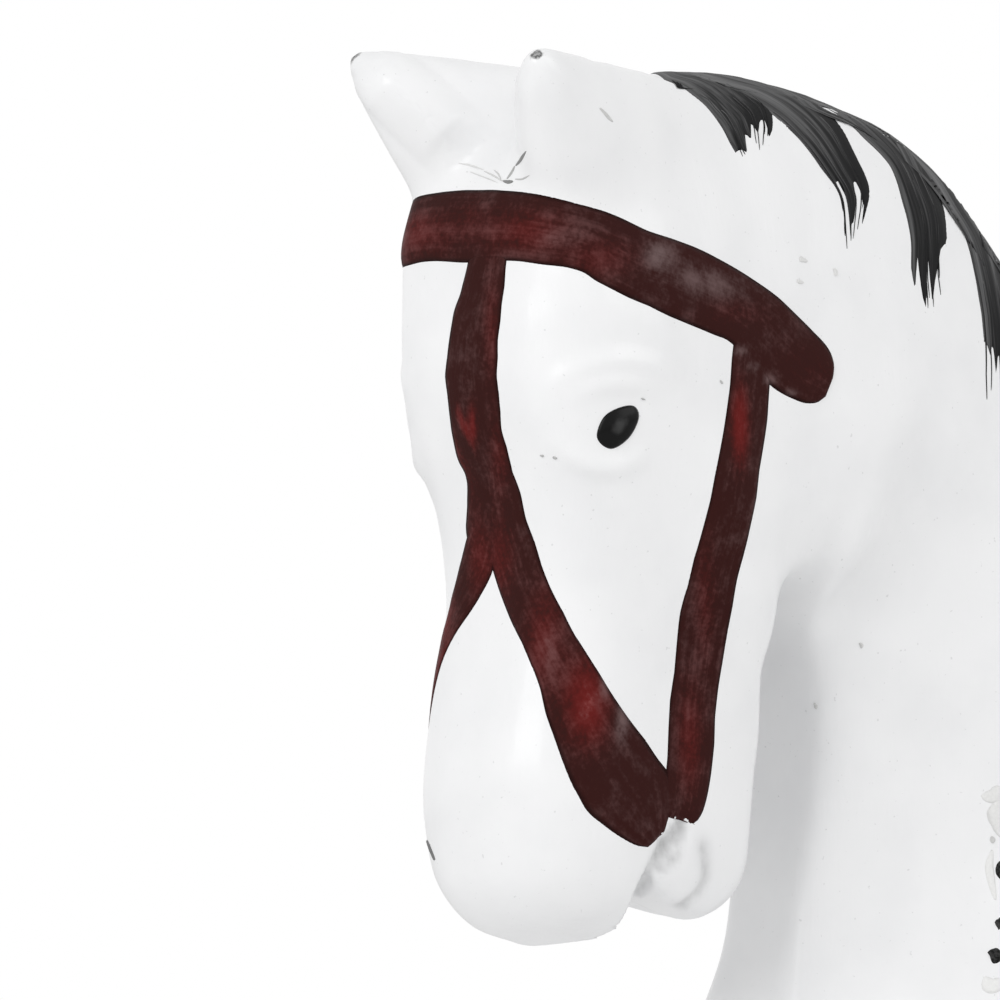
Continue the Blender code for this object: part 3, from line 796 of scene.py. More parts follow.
def film(net, height, blunt=0.03, fade=0.0):
    """Points, faces and marks of a closed film over a net. Across the stroke it rises by height times
    1 - (2 across - 1)^4; towards both ends it sinks within the share blunt, and it thins by fade along it."""
    along, across = np.linspace(0, 1, net.shape[0]), np.linspace(0, 1, net.shape[1])
    place, outwards = laid(net)
    ends = np.clip(np.minimum(along, 1 - along) / blunt, 0, 1) ** 0.5
    rise = height * ((1 - fade * along) * ends)[:, None] * (1 - (2 * across - 1) ** 4)
    top, bottom = place + outwards * rise[..., None], place - outwards * FILM_SINK
    points, faces = closed_skin(np.concatenate([top, bottom[:, ::-1]], 1))
    both = np.concatenate([across, across[::-1]])
    marks = np.stack(np.meshgrid(along, both, indexing="ij"), -1).reshape(-1, 2)
    return points, faces, np.vstack([marks, [[0, 0.5], [1, 0.5]]])


def both_sides(net, *shape):
    """The film of a net and the film of its mirror image."""
    return [film(net, *shape), film(net * MIRROR, *shape)]


def painted(name, films):
    """One object of several films. Attributes keep how far along and across its stroke each point lies, and
    which stroke it belongs to."""
    starts = np.cumsum([0] + [len(points) for points, _, _ in films])
    faces = [tuple(int(start + corner) for corner in face)
             for start, (_, some, _) in zip(starts, films) for face in some]
    made = new_object(name, np.vstack([points for points, _, _ in films]), faces)
    shade_smooth(made.data)
    marks = np.vstack([marks for _, _, marks in films])
    note(made, "along", marks[:, 0])
    note(made, "across", marks[:, 1])
    note(made, "stroke", np.repeat(np.arange(len(films)), np.diff(starts)))
    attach(made, "root")
    print(name, len(films), "strokes,", len(faces), "faces")
    return made


# %% [markdown]
# ## The bridle
# One broad stroke goes round the brow and ends behind each cheek. A strap runs down the middle of the face
# and parts into two branches, one to each corner of the mouth, and a cheek strap comes down on each side to
# meet it. The brow stroke was painted last: it lies over the others. The right side isn't in the picture,
# so it mirrors the left.

# %% Bridle strokes
BRIDLE_HEIGHT = 0.00016
BRANCH_LAYER, BROW_LAYER, BROW_BLUNT = 1.1, 1.8, 0.015
BROW_TOP = ((479, 190), (500, 190), (540, 195), (605, 212), (651, 231), (712, 255), (763, 286), (800, 318),
            (824, 343), (833, 362), (833, 377))
BROW_BOTTOM = ((472, 264), (510, 262), (575, 270), (600, 283), (651, 309), (712, 334), (733, 346), (770, 386),
               (796, 400), (815, 403), (826, 397))
FACE_LEFT = ((470, 250), (462, 290), (452, 320), (446, 380), (455, 450), (465, 476), (467, 502), (466, 528),
             (472, 556))
FACE_RIGHT = ((508, 250), (503, 300), (497, 360), (500, 420), (507, 450), (515, 478), (520, 500), (518, 525),
              (508, 552))
BRANCH_LEFT = ((484, 470), (484, 500), (485, 534), (491, 567), (510, 619), (534, 672), (548, 719), (568, 776),
               (578, 796), (590, 815), (612, 833), (634, 845), (648, 847))
BRANCH_RIGHT = ((504, 446), (516, 481), (526, 517), (537, 550), (550, 586), (566, 619), (589, 655),
                (610, 691), (629, 719), (652, 750), (670, 776), (672, 802), (664, 832))
FAR_LEFT = ((480, 532), (491, 566), (513, 619), (540, 672), (555, 719), *BRANCH_LEFT[7:])
FAR_RIGHT = ((508, 520), (523, 556), (538, 592), (557, 625), *BRANCH_RIGHT[6:])
CHEEK_LEFT = ((735, 330), (729, 390), (720, 450), (700, 540), (683, 600), (675, 660), (668, 740), (665, 780),
              (664, 816))
CHEEK_RIGHT = ((772, 360), (769, 400), (765, 440), (752, 520), (735, 590), (720, 680), (710, 780), (704, 808),
               (694, 824))
STROKE_ROWS, STROKE_COLUMNS, STROKE_WAVER = 90, 15, 0.7


def stroke(left, right):
    """The net of a stroke between two edges in the picture."""
    one, other = [on_skin(wavering(trace(edge, STROKE_ROWS), STROKE_WAVER)) for edge in (left, right)]
    return between(one, other, STROKE_COLUMNS)


brow = stroke(BROW_TOP, BROW_BOTTOM)
brow[0] *= (0, 1, 1)
brow = np.vstack([brow[:0:-1] * MIRROR, brow])
bridle = painted("painted_bridle", [
    *both_sides(stroke(CHEEK_LEFT, CHEEK_RIGHT), BRIDLE_HEIGHT),
    film(stroke(FACE_LEFT, FACE_RIGHT), BRIDLE_HEIGHT),
    film(stroke(BRANCH_LEFT, BRANCH_RIGHT), BRIDLE_HEIGHT * BRANCH_LAYER),
    film(stroke(FAR_LEFT, FAR_RIGHT) * MIRROR, BRIDLE_HEIGHT * BRANCH_LAYER),
    film(brow, BRIDLE_HEIGHT * BROW_LAYER, BROW_BLUNT)])

# %% [markdown]
# ## Where the red and the gloss lie
# The bridle's paint isn't even: here and there it is a brighter red, or catches the light, and there a paler
# colour is painted in as its highlight. Each point of the bridle keeps both as numbers, summed up from a few
# soft ovals.

# %% Patches of red and gloss
# Each patch is a column and a row of the picture, a half width, a half height and a strength.
RED_PATCHES = ((472, 428, 5, 24, 0.8), (588, 702, 24, 44, 0.9), (545, 640, 20, 56, 0.55),
               (690, 740, 14, 60, 0.5), (740, 425, 9, 40, 1.0), (705, 600, 12, 80, 0.3),
               (492, 330, 10, 60, 0.35), (500, 455, 12, 44, 0.35), (500, 560, 16, 44, 0.45),
               (452, 222, 30, 24, 0.45), (530, 232, 44, 24, 0.5), (600, 258, 40, 24, 0.35),
               (735, 312, 40, 18, 0.2))
# The gloss patches say where the coat is glossy and where a highlight is painted into the colour; the
# negative one takes the paler streaks down at the brow's end.
GLOSS_AND_HIGHLIGHT_PATCHES = ((660, 256, 17, 17, 0.7), (696, 276, 22, 15, 0.5), (775, 376, 34, 8, 0.3),
                 (715, 285, 26, 14, 0.3), (806, 372, 36, 26, -0.6), (740, 351, 9, 5, 0.6),
                 (755, 366, 9, 5, 0.6), (771, 381, 9, 5, 0.7), (790, 393, 12, 5, 0.9),
                 (566, 238, 30, 16, 0.35), (622, 722, 8, 22, 0.8), (604, 684, 8, 26, 0.5),
                 (745, 290, 40, 14, 0.3), (455, 225, 30, 14, 0.3), (552, 655, 12, 40, 0.3),
                 (740, 530, 14, 40, 0.15), (700, 700, 12, 60, 0.15))


def patches(points, spots):
    """Sum of soft ovals in the picture: strength times exp(-(du / half width)^2 - (dv / half height)^2)."""
    seen = picture_pixels(points)[:, None]
    table = np.array(spots, float)
    return (table[:, 4] * np.exp(-(((seen - table[:, :2]) / table[:, 2:4]) ** 2).sum(-1))).sum(-1)


for label, spots in (("red", RED_PATCHES), ("gloss", GLOSS_AND_HIGHLIGHT_PATCHES)):
    strength = patches(coordinates(bridle), spots)
    note(bridle, label, strength)
    print(label, "on the bridle: up to", round(strength.max(), 2))

# %% [markdown]
# ## The mane
# The mane is dry-brushed: a flat brush with little black paint was pulled along the crest and down the
# neck, so every stroke is solid at its root and frays at its tip. In the net of a tuft each column ends at
# a length of its own, which makes the teeth. A few wisps run on past them. The tufts of the left side
# follow the picture as far as it goes, and the ones beyond it repeat the last shape down to the withers.

# %% Mane strokes
MANE_HEIGHT = 0.00012
TUFTS = [
    (((664, 80), (686, 90), (706, 107), (722, 128), (738, 156)),
     ((690, 72), (727, 76), (764, 98), (773, 118), (772, 138))),
    (((690, 82), (745, 98), (776, 117), (804, 145), (827, 176), (840, 199), (846, 236)),
     ((745, 74), (795, 89), (834, 119), (853, 149), (869, 187), (864, 220))),
    (((800, 97), (840, 117), (868, 140), (891, 168), (904, 204), (910, 237), (911, 265), (912, 316)),
     ((842, 100), (885, 126), (916, 155), (940, 197), (946, 232), (948, 288))),
    (((895, 143), (925, 172), (942, 199), (965, 237), (977, 293), (983, 332), (985, 408)),
     ((940, 170), (970, 204), (995, 246), (1010, 300), (1015, 350), (1013, 408))),
]
TUFT_ROWS, TUFT_COLUMNS, TUFT_WAVER, TUFT_BLUNT, TUFT_FADE = 44, 29, 0.8, 0.04, 0.5
TEETH, TOOTH_LENGTHS, TOOTH_SPREAD = 12, (0.80, 0.88, 0.94, 1.0), (-0.04, 0.03)
WISPS, WISP_COLUMNS, WISP_WAVER, WISP_TAPER = 7, 3, 0.5, 0.75
WISP_STARTS, WISP_ENDS, WISP_HALVES = (0.3, 0.6), (0.92, 1.08), (0.8, 1.8)
ROOT_ROWS, ROOT_LEAD = 8, 5
NEXT_TUFT, NEXT_TUFTS = 0.0118, 5


def lengths(table, share):
    """Points of a line at shares of its length; past its end it runs straight on."""
    spots = np.clip(share, 0, 1) * (len(table) - 1)
    inside = np.stack([np.interp(spots, np.arange(len(table)), values) for values in table.T], -1)
    return inside + np.clip(share - 1, 0, None)[:, None] * (len(table) - 1) * (table[-1] - table[-2])


def tuft(left, right):
    """Nets of one tuft: a broad one with a toothed end, and wisps. All are made of pixels."""
    left, right = [wavering(trace(edge, TUFT_ROWS), TUFT_WAVER) for edge in (left, right)]
    along, across = np.linspace(0, 1, TUFT_ROWS), np.linspace(0, 1, TUFT_COLUMNS)
    teeth = dice.choice(TOOTH_LENGTHS, TEETH) + dice.uniform(*TOOTH_SPREAD, TEETH)
    share = along[:, None] * np.interp(across, np.linspace(0, 1, TEETH), teeth)
    edges = [lengths(edge, share.ravel()).reshape(TUFT_ROWS, TUFT_COLUMNS, 2) for edge in (left, right)]
    yield edges[0] * (1 - across)[:, None] + edges[1] * across[:, None]
    for where in dice.uniform(0, 1, WISPS):
        reach = np.linspace(dice.uniform(*WISP_STARTS), dice.uniform(*WISP_ENDS), TUFT_ROWS)
        line = wavering(lengths(left, reach) * (1 - where) + lengths(right, reach) * where, WISP_WAVER)
        half = (dice.uniform(*WISP_HALVES) * (1 - WISP_TAPER * along))[:, None] * sideways(line)
        yield between(line - half, line + half, WISP_COLUMNS)


def crest_steps(points):
    """Which step of the crest is nearest to each point."""
    return np.argmin(((points[:, None] - crest) ** 2).sum(-1), 1)


def rooted(net):
    """A net with rows put before it that start on the crest, a little way ahead."""
    start = crest[np.maximum(crest_steps(net[0]) - ROOT_LEAD, 0)]
    share = np.linspace(0, 1, ROOT_ROWS, endpoint=False)[:, None, None]
    return np.vstack([start * (1 - share) + net[0] * share, net])


def moved_down(net, steps):
    """A net moved along the crest towards the withers."""
    here = int(crest_steps(net[:1].mean(1))[0])
    return net + crest[min(here + steps, len(crest) - 1)] - crest[here]


nets = [[net_on_skin(net) for net in tuft(*edges)] for edges in TUFTS]
last_tuft = nets[-1]
for turn in range(1, NEXT_TUFTS + 1):
    steps = int(turn * NEXT_TUFT / CREST_STEP)
    nets.append([moved_down(net, steps) for net in last_tuft])
hairs = []
for broad, *wisps in nets:
    for net in (rooted(broad), *wisps):
        hairs += both_sides(net, MANE_HEIGHT, TUFT_BLUNT, TUFT_FADE)
print("mane:", len(nets), "tufts on each side")

# %% [markdown]
# ## The stripe along the crest
# The first pull of the brush runs along the crest from the poll to the withers. It covers the roots of all
# the tufts.

# %% Crest stripe
STRIPE_STOPS, STRIPE_HALVES = (0, 0.15, 0.9, 1), (0.0008, 0.0052, 0.0052, 0.0030)
STRIPE_COLUMNS, STRIPE_LAYER = 17, 1.5
half = np.interp(np.linspace(0, 1, len(crest)), STRIPE_STOPS, STRIPE_HALVES)[:, None] * (1, 0, 0)
hairs.append(film(between(crest - half, crest + half, STRIPE_COLUMNS), MANE_HEIGHT * STRIPE_LAYER))
mane = painted("painted_mane", hairs)

# %% [markdown]
# ## The eyes
# An eye is one drop of gloss black, set down with the tip of the brush. It is a dome over an outline with
# two blunt corners: rings from its middle to the outline, whose height falls off as (1 - r^2)^0.6.

# %% Eyes
EYE_OUTLINE = ((634, 406), (639, 418), (629, 438), (611, 449), (597, 438), (603, 418), (618, 408))
EYE_HEIGHT, EYE_POWER = 0.00040, 0.6
EYE_RINGS, EYE_SIDES, EYE_CORE = 14, 48, 0.03


def drop():
    """A net of rings round the middle of the outline."""
    outline = np.array(EYE_OUTLINE, float)
    loop = smooth_rows(np.vstack([outline[-2:], outline, outline[:3]]), CURVE_STEPS)
    loop = trace(loop[2 * CURVE_STEPS:-2 * CURVE_STEPS], EYE_SIDES + 1)[:-1]
    radius = np.linspace(EYE_CORE, 1, EYE_RINGS)[:, None, None]
    return net_on_skin(outline.mean(0) + radius * (loop - outline.mean(0))), radius[..., 0]


def dome(net, radius):
    """Points, faces and marks of a closed dome over rings."""
    place, outwards = laid(net)
    top = place + outwards * (EYE_HEIGHT * (1 - radius ** 2) ** EYE_POWER)[..., None]
    points, faces = closed_skin(np.concatenate([top, (place - outwards * FILM_SINK)[::-1]]))
    rim = np.concatenate([radius, radius[::-1]]).repeat(EYE_SIDES)
    return points, faces, np.vstack([np.stack([rim, rim], -1), [[0, 0], [0, 0]]])


eye_net, eye_radius = drop()
eyes = painted("painted_eyes", [dome(eye_net, eye_radius), dome(eye_net * MIRROR, eye_radius)])

# %% [markdown]
# ## Cracks and knocks
# Where an ear is glued on, the paint has cracked in fine lines. There are a few scuffs and dark spots too.
# They are films as well, as thin as a hair, and each has its own grey.

# %% Fine marks
MARK_HEIGHT, MARK_LAYER, RAGGED = 0.00004, 0.1, 0.09
MARK_ROWS, MARK_COLUMNS, MARK_TIP, MARK_POWER = 24, 5, 0.12, 0.6
# Width in pixels, grey, and the line in the picture.
MARKS = (
    (18.0, 0.90, ((982, 799), (993, 796), (1008, 790))),
    (26.0, 0.89, ((1000, 799), (1001, 815), (1003, 838))),
    (10.0, 0.94, ((993, 850), (991, 868), (995, 900))),
    (16.0, 0.94, ((982, 978), (992, 986), (1004, 984))),
    (3.4, 0.30, ((526, 151), (521, 159), (516, 166))),
    (2.6, 0.48, ((515, 166), (511, 173), (507, 179))),
    (4.0, 0.28, ((503, 180), (508, 182), (513, 181))),
    (1.8, 0.64, ((515, 179), (522, 179), (530, 175))),
    (2.2, 0.82, ((458, 163), (472, 166), (484, 170))),
    (1.8, 0.76, ((484, 171), (494, 176), (502, 181))),
    (1.6, 0.72, ((494, 170), (498, 174), (501, 179))),
    (1.4, 0.80, ((470, 172), (486, 178), (498, 183))),
    (4.0, 0.70, ((600, 108), (607, 115), (613, 122))),
    (3.0, 0.20, ((427, 840), (430, 849), (435, 860))),
    (9.0, 0.03, ((1001, 860), (1000, 868), (1002, 879))),
    (12.0, 0.03, ((995, 924), (999, 923), (1005, 923))),
    (16.0, 0.02, ((988, 955), (996, 955), (1004, 954))),
    (5.0, 0.72, ((991, 836), (992, 839), (993, 843))),
    (2.4, 0.55, ((540, 455), (542, 456), (544, 456))),
    (2.6, 0.55, ((553, 457), (555, 458), (557, 458))),
    (2.0, 0.55, ((641, 398), (643, 399), (645, 400))),
    (2.0, 0.60, ((720, 380), (721, 382), (722, 384))),
    (5.0, 0.84, ((800, 257), (803, 260), (807, 262))),
    (4.6, 0.86, ((797, 280), (799, 282), (803, 283))),
    (4.4, 0.84, ((833, 269), (835, 272), (836, 276))),
    (4.0, 0.72, ((859, 643), (861, 645), (862, 648))),
    (3.6, 0.70, ((814, 703), (816, 706), (817, 709))),
)


def thin_line(width, line):
    """The net of a mark that narrows towards both ends: the half width is a power of the sine along it."""
    middle = trace(line, MARK_ROWS)
    narrowing = np.sin(np.linspace(MARK_TIP, np.pi - MARK_TIP, MARK_ROWS))[:, None] ** MARK_POWER
    half = width / 2 * narrowing * sideways(middle)
    edges = [wavering(edge, RAGGED * width) for edge in (middle - half, middle + half)]
    return net_on_skin(between(*edges, MARK_COLUMNS))


scuffs = painted("painted_marks", [film(thin_line(width, line), MARK_HEIGHT * (1 + MARK_LAYER * order))
                                   for order, (width, _, line) in enumerate(MARKS)])
greys = np.array([grey for _, grey, _ in MARKS])
numbers = read(scuffs.data.attributes["stroke"].data, "value", 1, np.float32)[:, 0]
note(scuffs, "grey", greys[numbers.astype(int)])

# %% [markdown]
# ## Finishes
# A finish is a material built from a few nodes. One class holds a node tree and adds nodes to it, and a
# second one wraps a socket so that sums of patterns are written as ordinary formulas. Every operator adds
# one Math node.

# %% Shader maths
class Value:
    """A number that the shader works out at each point of the surface."""

    def __init__(self, nodes, socket):
        self.nodes, self.socket = nodes, socket

    def math(self, operation, first, second):
        return self.nodes.node("ShaderNodeMath", {"operation": operation}, {0: first, 1: second})

    def __add__(self, other):
        return self.math("ADD", self, other)

    def __sub__(self, other):
        return self.math("SUBTRACT", self, other)

    def __rsub__(self, other):
        return self.math("SUBTRACT", other, self)

    def __mul__(self, other):
        return self.math("MULTIPLY", self, other)

    __radd__ = __add__
    __rmul__ = __mul__

    def larger(self, other):
        return self.math("MAXIMUM", self, other)

    def ramp(self, low, high):
        """0 below low, 1 above high, and a smooth step between them."""
        return self.nodes.node("ShaderNodeMapRange", {"interpolation_type": "SMOOTHSTEP"},
                               {"Value": self, "From Min": low, "From Max": high})


class Nodes:
    """The node tree of a material or a world, its shader and one method that adds any node."""

    def __init__(self, owner, shader):
        owner.use_nodes = True
        self.owner, self.tree = owner, owner.node_tree
        self.shader = self.tree.nodes[shader]

    def feed(self, socket, value):
        """Link a value to a socket, or set the socket to a number or colour."""
        if isinstance(value, Value):
            self.tree.links.new(value.socket, socket)
        else:
            socket.default_value = value

    def shade(self, label, value):
        """Feed one of the shader's own sockets."""
        self.feed(self.shader.inputs[label], value)

    def node(self, kind, settings=None, sockets=None, output=0):
        """Add a node: set its settings first, then feed its sockets, and return one of its outputs."""
        made = self.tree.nodes.new(kind)
        for label, value in (settings or {}).items():
            setattr(made, label, value)
        for label, value in (sockets or {}).items():
            self.feed(made.inputs[label], value)
        return Value(self, made.outputs[output])


# %% [markdown]
# ## Patterns
# A finish draws on few patterns: noise at a place, noise stretched along one axis, and the numbers that the
# pieces keep at their points.

# %% Finish
class Finish(Nodes):
    """A material, with the patterns that the paints share."""

    def __init__(self, name, **constants):
        super().__init__(bpy.data.materials.new(name), "Principled BSDF")
        for label, value in constants.items():
            self.shade(label.replace("_", " "), value)

    def place(self):
        """Object coordinates, in metres."""
        return self.node("ShaderNodeTexCoord", output="Object")

    def stretched(self, place, length):
        """A place whose height counts less, for patterns that run up and down."""
        return self.node("ShaderNodeMapping", sockets={"Vector": place, "Scale": (1.0, 1.0, length)})

    def noise(self, place, scale, detail=2.0, roughness=0.5):
        """Soft random values round 0.5."""
        return self.node("ShaderNodeTexNoise", sockets={"Vector": place, "Scale": scale, "Detail": detail,
                                                        "Roughness": roughness})

    def mark(self, name):
        """An attribute of the mesh."""
        return self.node("ShaderNodeAttribute", {"attribute_name": name}, output="Fac")

    def bristles(self, across, along, stroke):
        """Noise along a brush stroke: how fast it changes across it, along it and between strokes."""
        rates = {"across": across, "along": along, "stroke": stroke}
        flow = {axis: self.mark(label) * rate for axis, (label, rate) in enumerate(rates.items())}
        return self.noise(self.node("ShaderNodeCombineXYZ", sockets=flow), 1.0, 4, 0.6)

    def distance(self, place, spot):
        """How far a place is from a spot."""
        return self.node("ShaderNodeVectorMath", {"operation": "DISTANCE"}, {0: place, 1: spot}, "Value")

    def blend(self, share, first, second):
        """Mix two colours."""
        return self.node("ShaderNodeMix", {"data_type": "RGBA"}, {0: share, 6: first, 7: second}, 2)

    def finish(self, colour, roughness, height=None, depth=0.0001, strength=1.0):
        """Feed the shader, with a bump where a height is given."""
        self.shade("Base Color", colour)
        self.shade("Roughness", roughness)
        if height is not None:
            bump = {"Strength": strength, "Distance": depth, "Height": height}
            self.shade("Normal", self.node("ShaderNodeBump", sockets=bump))
        return self.owner


# %% [markdown]
# ## White paint
# The coat is a satin white with soft brush marks, pinholes and a little grey painted into the hollows as
# shade. The hooves and the root of the tail are black, with an uneven edge where the brush stopped. The ear
# tips are worn down to grey.

# %% White coat
WHITE = (0.858, 0.860, 0.866, 1)
PALE_GREY = (0.822, 0.825, 0.833, 1)
GREY = (0.30, 0.30, 0.30, 1)
BLACK = (0.012, 0.012, 0.013, 1)
HOOF_LINE, HOOF_BLUR, HOOF_FRAY = 0.0098, 0.00008, 0.0016
TAIL_ROOT, DOCK_EDGE, DOCK_FRAY = (0.0, FOREHEAD_Y + 0.1640, 0.1238), (0.0088, 0.0092), 0.0030
EAR_TIPS = [(side * 0.0113, FOREHEAD_Y - 0.0030, 0.1996) for side in (1, -1)]
TIP_EDGE, TIP_FRAY = (0.00045, 0.00075), 0.0016


def white_coat():
    """White with faint clouds, specks, painted shade in the hollows, worn ear tips and black hooves."""
    coat = Finish("white_coat", Coat_Roughness=0.12, Specular_IOR_Level=0.35)
    place = coat.place()
    clouds = coat.noise(place, 140, 3)
    brushed = coat.noise(coat.stretched(place, 0.22), 1500, 2)
    specks = coat.noise(place, 2600, 1).ramp(0.735, 0.80)
    colour = coat.blend(clouds.ramp(0.35, 0.75), WHITE, PALE_GREY)
    colour = coat.blend(specks * 0.25, colour, GREY)
    fray = coat.noise(place, 900, 3)
    # Painted shade: grey in the mouth groove and the fold behind the chin, as much as the hollow number says.
    colour = coat.blend(coat.mark("hollow") * (0.10 + fray * 0.95), colour, GREY)
    tips = [coat.distance(place, tip) + (fray - 0.5) * TIP_FRAY for tip in EAR_TIPS]
    worn = sum(1 - tip.ramp(*TIP_EDGE) for tip in tips)
    bare = coat.blend(coat.noise(place, 3500, 2).ramp(0.42, 0.58), GREY, BLACK)
    colour = coat.blend(worn * 0.9, colour, bare)
    height = coat.node("ShaderNodeSeparateXYZ", sockets={0: place}, output="Z")
    streaks = coat.noise(coat.stretched(place, 0.12), 1400, 3)
    hoof = 1 - (height + (streaks - 0.5) * HOOF_FRAY).ramp(HOOF_LINE - HOOF_BLUR, HOOF_LINE + HOOF_BLUR)
    dock = 1 - (coat.distance(place, TAIL_ROOT) + (fray - 0.5) * DOCK_FRAY).ramp(*DOCK_EDGE)
    dark = hoof.larger(dock)
    colour = coat.blend(dark, colour, BLACK)
    coat.shade("Coat Weight", 0.25 - dark * 0.1)
    return coat.finish(colour, 0.30 + clouds * 0.12, brushed * 0.6 + clouds * 1.4, 0.00006, 0.5)


white = white_coat()
for block in blocks.values():
    block.data.materials.append(white)
print("white coat:", len(white.node_tree.nodes), "nodes")

# %% [markdown]
# ## Red and black paint
# The bridle is a dark red that was brushed thinly, so a brighter red shows along the stroke where the
# bristles parted, and its edges are nearly black. The mane is dry black: greyer where the paint is thin.

# %% Bridle, mane, eye and tail
DARK_RED, MID_RED, BRIGHT_RED = (0.036, 0.0105, 0.0095, 1), (0.130, 0.0130, 0.0120, 1), (0.30, 0.06, 0.058, 1)
DRY_BRUSH_AND_SHEEN_RED, RED_EDGE, RED_PAINTED_HIGHLIGHT = (0.150, 0.095, 0.094, 1), (0.013, 0.0055, 0.005, 1), (0.145, 0.080, 0.079, 1)
MANE_BLACK, MANE_GREY = (0.0085, 0.0085, 0.009, 1), (0.155, 0.155, 0.157, 1)
EYE_BLACK, EYE_HIGHLIGHT_GREY = (0.003, 0.003, 0.003, 1), (0.05, 0.05, 0.05, 1)
MARK_BLACK, MARK_WHITE = (0.004, 0.004, 0.004, 1), (0.86, 0.86, 0.85, 1)
TAIL_GREY = (0.09, 0.09, 0.092, 1)


def bridle_paint():
    """Dark red with brighter patches, and gloss where the mesh notes them with a paler colour painted in
    there as a highlight, broken up by streaks along each stroke."""
    paint = Finish("bridle_red", Specular_IOR_Level=0.02, Coat_Roughness=0.2)
    place, streaks = paint.place(), paint.bristles(9, 5, 7.3)
    grain = paint.noise(place, 2600, 2, 0.6)
    blotches = paint.noise(place, 420, 3, 0.6)
    uneven = (streaks - 0.5) * 0.5 + (blotches - 0.5) * 0.4 + (grain - 0.5) * 0.5
    red = paint.mark("red") * (0.45 + blotches * 0.9) + uneven
    colour = paint.blend(red.ramp(0.0, 0.85), DARK_RED, MID_RED)
    colour = paint.blend(red.ramp(0.75, 1.35), colour, BRIGHT_RED)
    # The dry layer is partly real dry brushing and partly painted highlight, where the gloss number lifts it.
    dry = streaks * 0.6 + grain * 0.4 + (blotches - 0.5) * 0.8 + paint.mark("gloss") * 0.4
    colour = paint.blend(dry.ramp(0.42, 0.85) * 0.32, colour, DRY_BRUSH_AND_SHEEN_RED)
    aside = paint.mark("across") * 2 - 1
    edge = aside * aside + (grain - 0.5) * 0.2
    colour = paint.blend(edge.ramp(0.72, 0.98) * 0.8, colour, RED_EDGE)
    # Painted highlight: where the gloss number is high, the colour turns paler, as a reflection would.
    gloss = paint.mark("gloss") * (blotches * 1.4 + streaks * 0.6 - 0.2) + (grain - 0.5) * 0.25
    colour = paint.blend(gloss.ramp(0.12, 0.9) * 0.7, colour, RED_PAINTED_HIGHLIGHT)
    paint.shade("Coat Weight", gloss.ramp(0.1, 0.8) * 0.5)
    return paint.finish(colour, 0.36 + grain * 0.2, streaks + grain * 0.5, 0.00008, 0.6)


def mane_paint():
    """Bristle streaks along each stroke, grey near its root and on the left and nearly black elsewhere."""
    paint = Finish("mane_black", Specular_IOR_Level=0.08)
    streaks = paint.bristles(8, 1.3, 3.7)
    thin = streaks * 1.5 - paint.mark("across") * 0.34 - paint.mark("along") * 0.30
    colour = paint.blend(thin.ramp(0.25, 0.90), MANE_BLACK, MANE_GREY)
    return paint.finish(colour, 0.45 + streaks * 0.2, streaks, 0.00008, 0.6)


def eye_paint():
    """Black with a faint grey sheen painted into the colour in the middle as a highlight."""
    paint = Finish("eye_black", Specular_IOR_Level=0.15, Coat_Roughness=0.08)
    clouds = paint.noise(paint.place(), 900, 2)
    sheen = (1 - paint.mark("along") * 1.6 + (clouds - 0.5) * 0.8).ramp(0.25, 0.9)
    # Painted highlight: grey mixed into the black towards the middle of the drop.
    colour = paint.blend(sheen * 0.6, EYE_BLACK, EYE_HIGHLIGHT_GREY)
    paint.shade("Coat Weight", sheen * 0.3)
    return paint.finish(colour, 0.16 + clouds * 0.1, clouds, 0.00003, 0.3)


def mark_paint():
    """The grey that each mark notes, broken up a little."""
    paint = Finish("mark_grey", Specular_IOR_Level=0.1)
    crumbs = paint.noise(paint.place(), 4000, 2)
    colour = paint.blend(paint.mark("grey") + (crumbs - 0.5) * 0.15, MARK_BLACK, MARK_WHITE)
    return paint.finish(colour, 0.6 + crumbs * 0.1, crumbs, 0.00004, 0.5)


def tail_paint():
    """Black with grey streaks that run down the tail."""
    paint = Finish("tail_black", Specular_IOR_Level=0.25)
    strands = paint.noise(paint.stretched(paint.place(), 0.10), 1300, 4, 0.65)
    colour = paint.blend(strands.ramp(0.5, 0.85), BLACK, TAIL_GREY)
    return paint.finish(colour, 0.32 + strands * 0.2, strands, 0.0001, 0.8)


for made, finish, slot_name in ((bridle, bridle_paint(), "bridle_paint"), (mane, mane_paint(), "black_paint"),
                                (eyes, eye_paint(), "black_paint"), (scuffs, mark_paint(), "black_paint"),
                                (blocks["tail"], tail_paint(), "black_paint")):
    made.data.materials.clear()
    made.data.materials.append(finish)
    print(made.name, "wears", finish.name)

# %% [markdown]
# ## Beech dowels
# The dowels sit inside the joints. They keep their solids and get a wood finish: pale brown with darker
# flecks along the peg.

# %% Dowels
PALE_BEECH, DARK_BEECH = (0.62, 0.43, 0.26, 1), (0.44, 0.28, 0.15, 1)


def beech():
    """Fine flecks stretched along the height."""
    wood = Finish("beech_wood", Specular_IOR_Level=0.3)
    grain = wood.noise(wood.stretched(wood.place(), 0.1), 1800, 4, 0.6)
    colour = wood.blend(grain.ramp(0.35, 0.75), PALE_BEECH, DARK_BEECH)
    return wood.finish(colour, 0.55 + grain * 0.2, grain, 0.00005, 0.5)


beech_wood = beech()
dowels = [made for name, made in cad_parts.items() if name.endswith("dowel")]
for made in dowels:
    made.data.materials.clear()
    made.data.materials.append(beech_wood)
print("dowels:", len(dowels))

# %% [markdown]
# ## The studio
# The picture was taken in even light on white. The world is white for the camera and for reflections, and a
# softer grey for everything else, so that the hollows stay a little darker. Two large lamps shape the head.

# %% World, floor and lamps
AMBIENT, WHITE_LIGHT = 0.68, (1, 1, 1, 1)
BRIGHT_RAYS = ("Is Camera Ray", "Is Glossy Ray", "Is Transmission Ray")
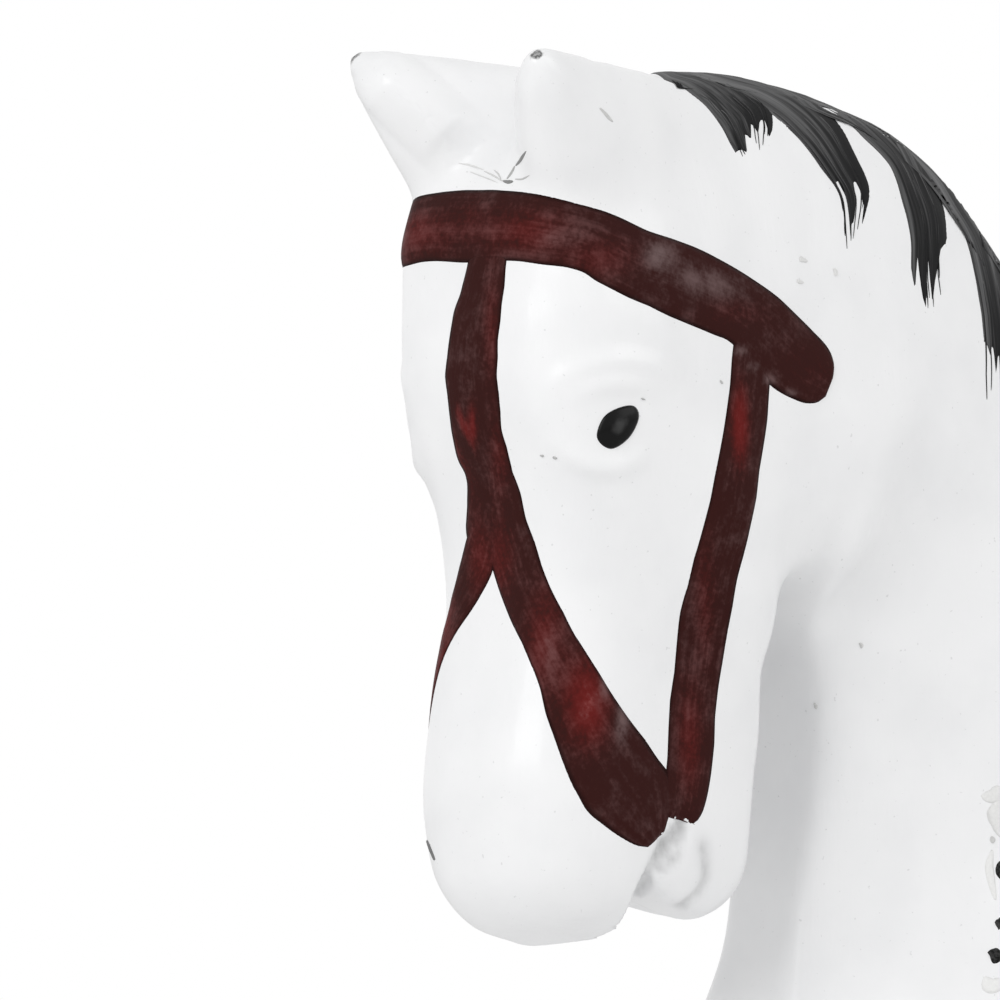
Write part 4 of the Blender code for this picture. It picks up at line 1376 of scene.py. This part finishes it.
# Name, place, aim, side and power of each soft box.
LAMPS = (("key", (0.13, -0.90, 0.55), (0, -0.05, 0.14), 0.6, 3.1),
         ("fill", (0.80, 0.30, 0.62), (0, 0, 0.12), 0.7, 2.1))
FLOOR_REACH, FLOOR_SIDES, FLOOR_DROP, FLOOR_GREY = 3.0, 64, 0.0002, (0.90, 0.90, 0.90, 1)

sky = Nodes(bpy.data.worlds.new("studio"), "Background")
bpy.context.scene.world = sky.owner
seen, shiny, through = [sky.node("ShaderNodeLightPath", output=label) for label in BRIGHT_RAYS]
sky.shade("Color", WHITE_LIGHT)
sky.shade("Strength", AMBIENT + seen.larger(shiny).larger(through) * (1 - AMBIENT))


def aimed(made, place, ahead):
    """Put a lamp or camera at a place and point it ahead."""
    made.location = place
    made.rotation_mode = "QUATERNION"
    made.rotation_quaternion = Vector(ahead).to_track_quat("-Z", "Y")


for name, place, aim, side, power in LAMPS:
    light = bpy.data.lights.new(name, "AREA")
    light.size, light.energy = side, power
    box = linked(name, light)
    aimed(box, place, Vector(aim) - Vector(place))
    box.visible_camera = False

turn = np.linspace(0, 2 * np.pi, FLOOR_SIDES, endpoint=False)
rim = np.stack([FLOOR_REACH * np.cos(turn), FLOOR_REACH * np.sin(turn), 0 * turn - FLOOR_DROP], -1)
floor = new_object("floor", rim, [tuple(range(FLOOR_SIDES))])
floor.data.materials.append(Finish("pale_floor", Specular_IOR_Level=0.1).finish(FLOOR_GREY, 0.8))
bpy.context.scene.view_settings.view_transform = "Standard"
print("studio:", len(LAMPS), "lamps, floor", 2 * FLOOR_REACH, "m across")

# %% [markdown]
# ## The camera
# The lens follows from the distance and the scale: a sensor of 36 mm takes in as much of the plane through
# the aim as the picture is wide.

# %% Camera
camera_data = bpy.data.cameras.new("camera")
camera_data.sensor_width = SENSOR
camera_data.lens = SENSOR * CAMERA_DISTANCE * PIXELS_PER_METRE / PICTURE_SIDE
camera = linked("camera", camera_data)
aimed(camera, camera_place, -towards_camera)
bpy.context.scene.camera = camera
print("lens:", camera_data.lens, "mm")

# %% [markdown]
# ## Tidy up
# The two skins have done their work and go.

# %% Remove the skins
discard(fore, rear)
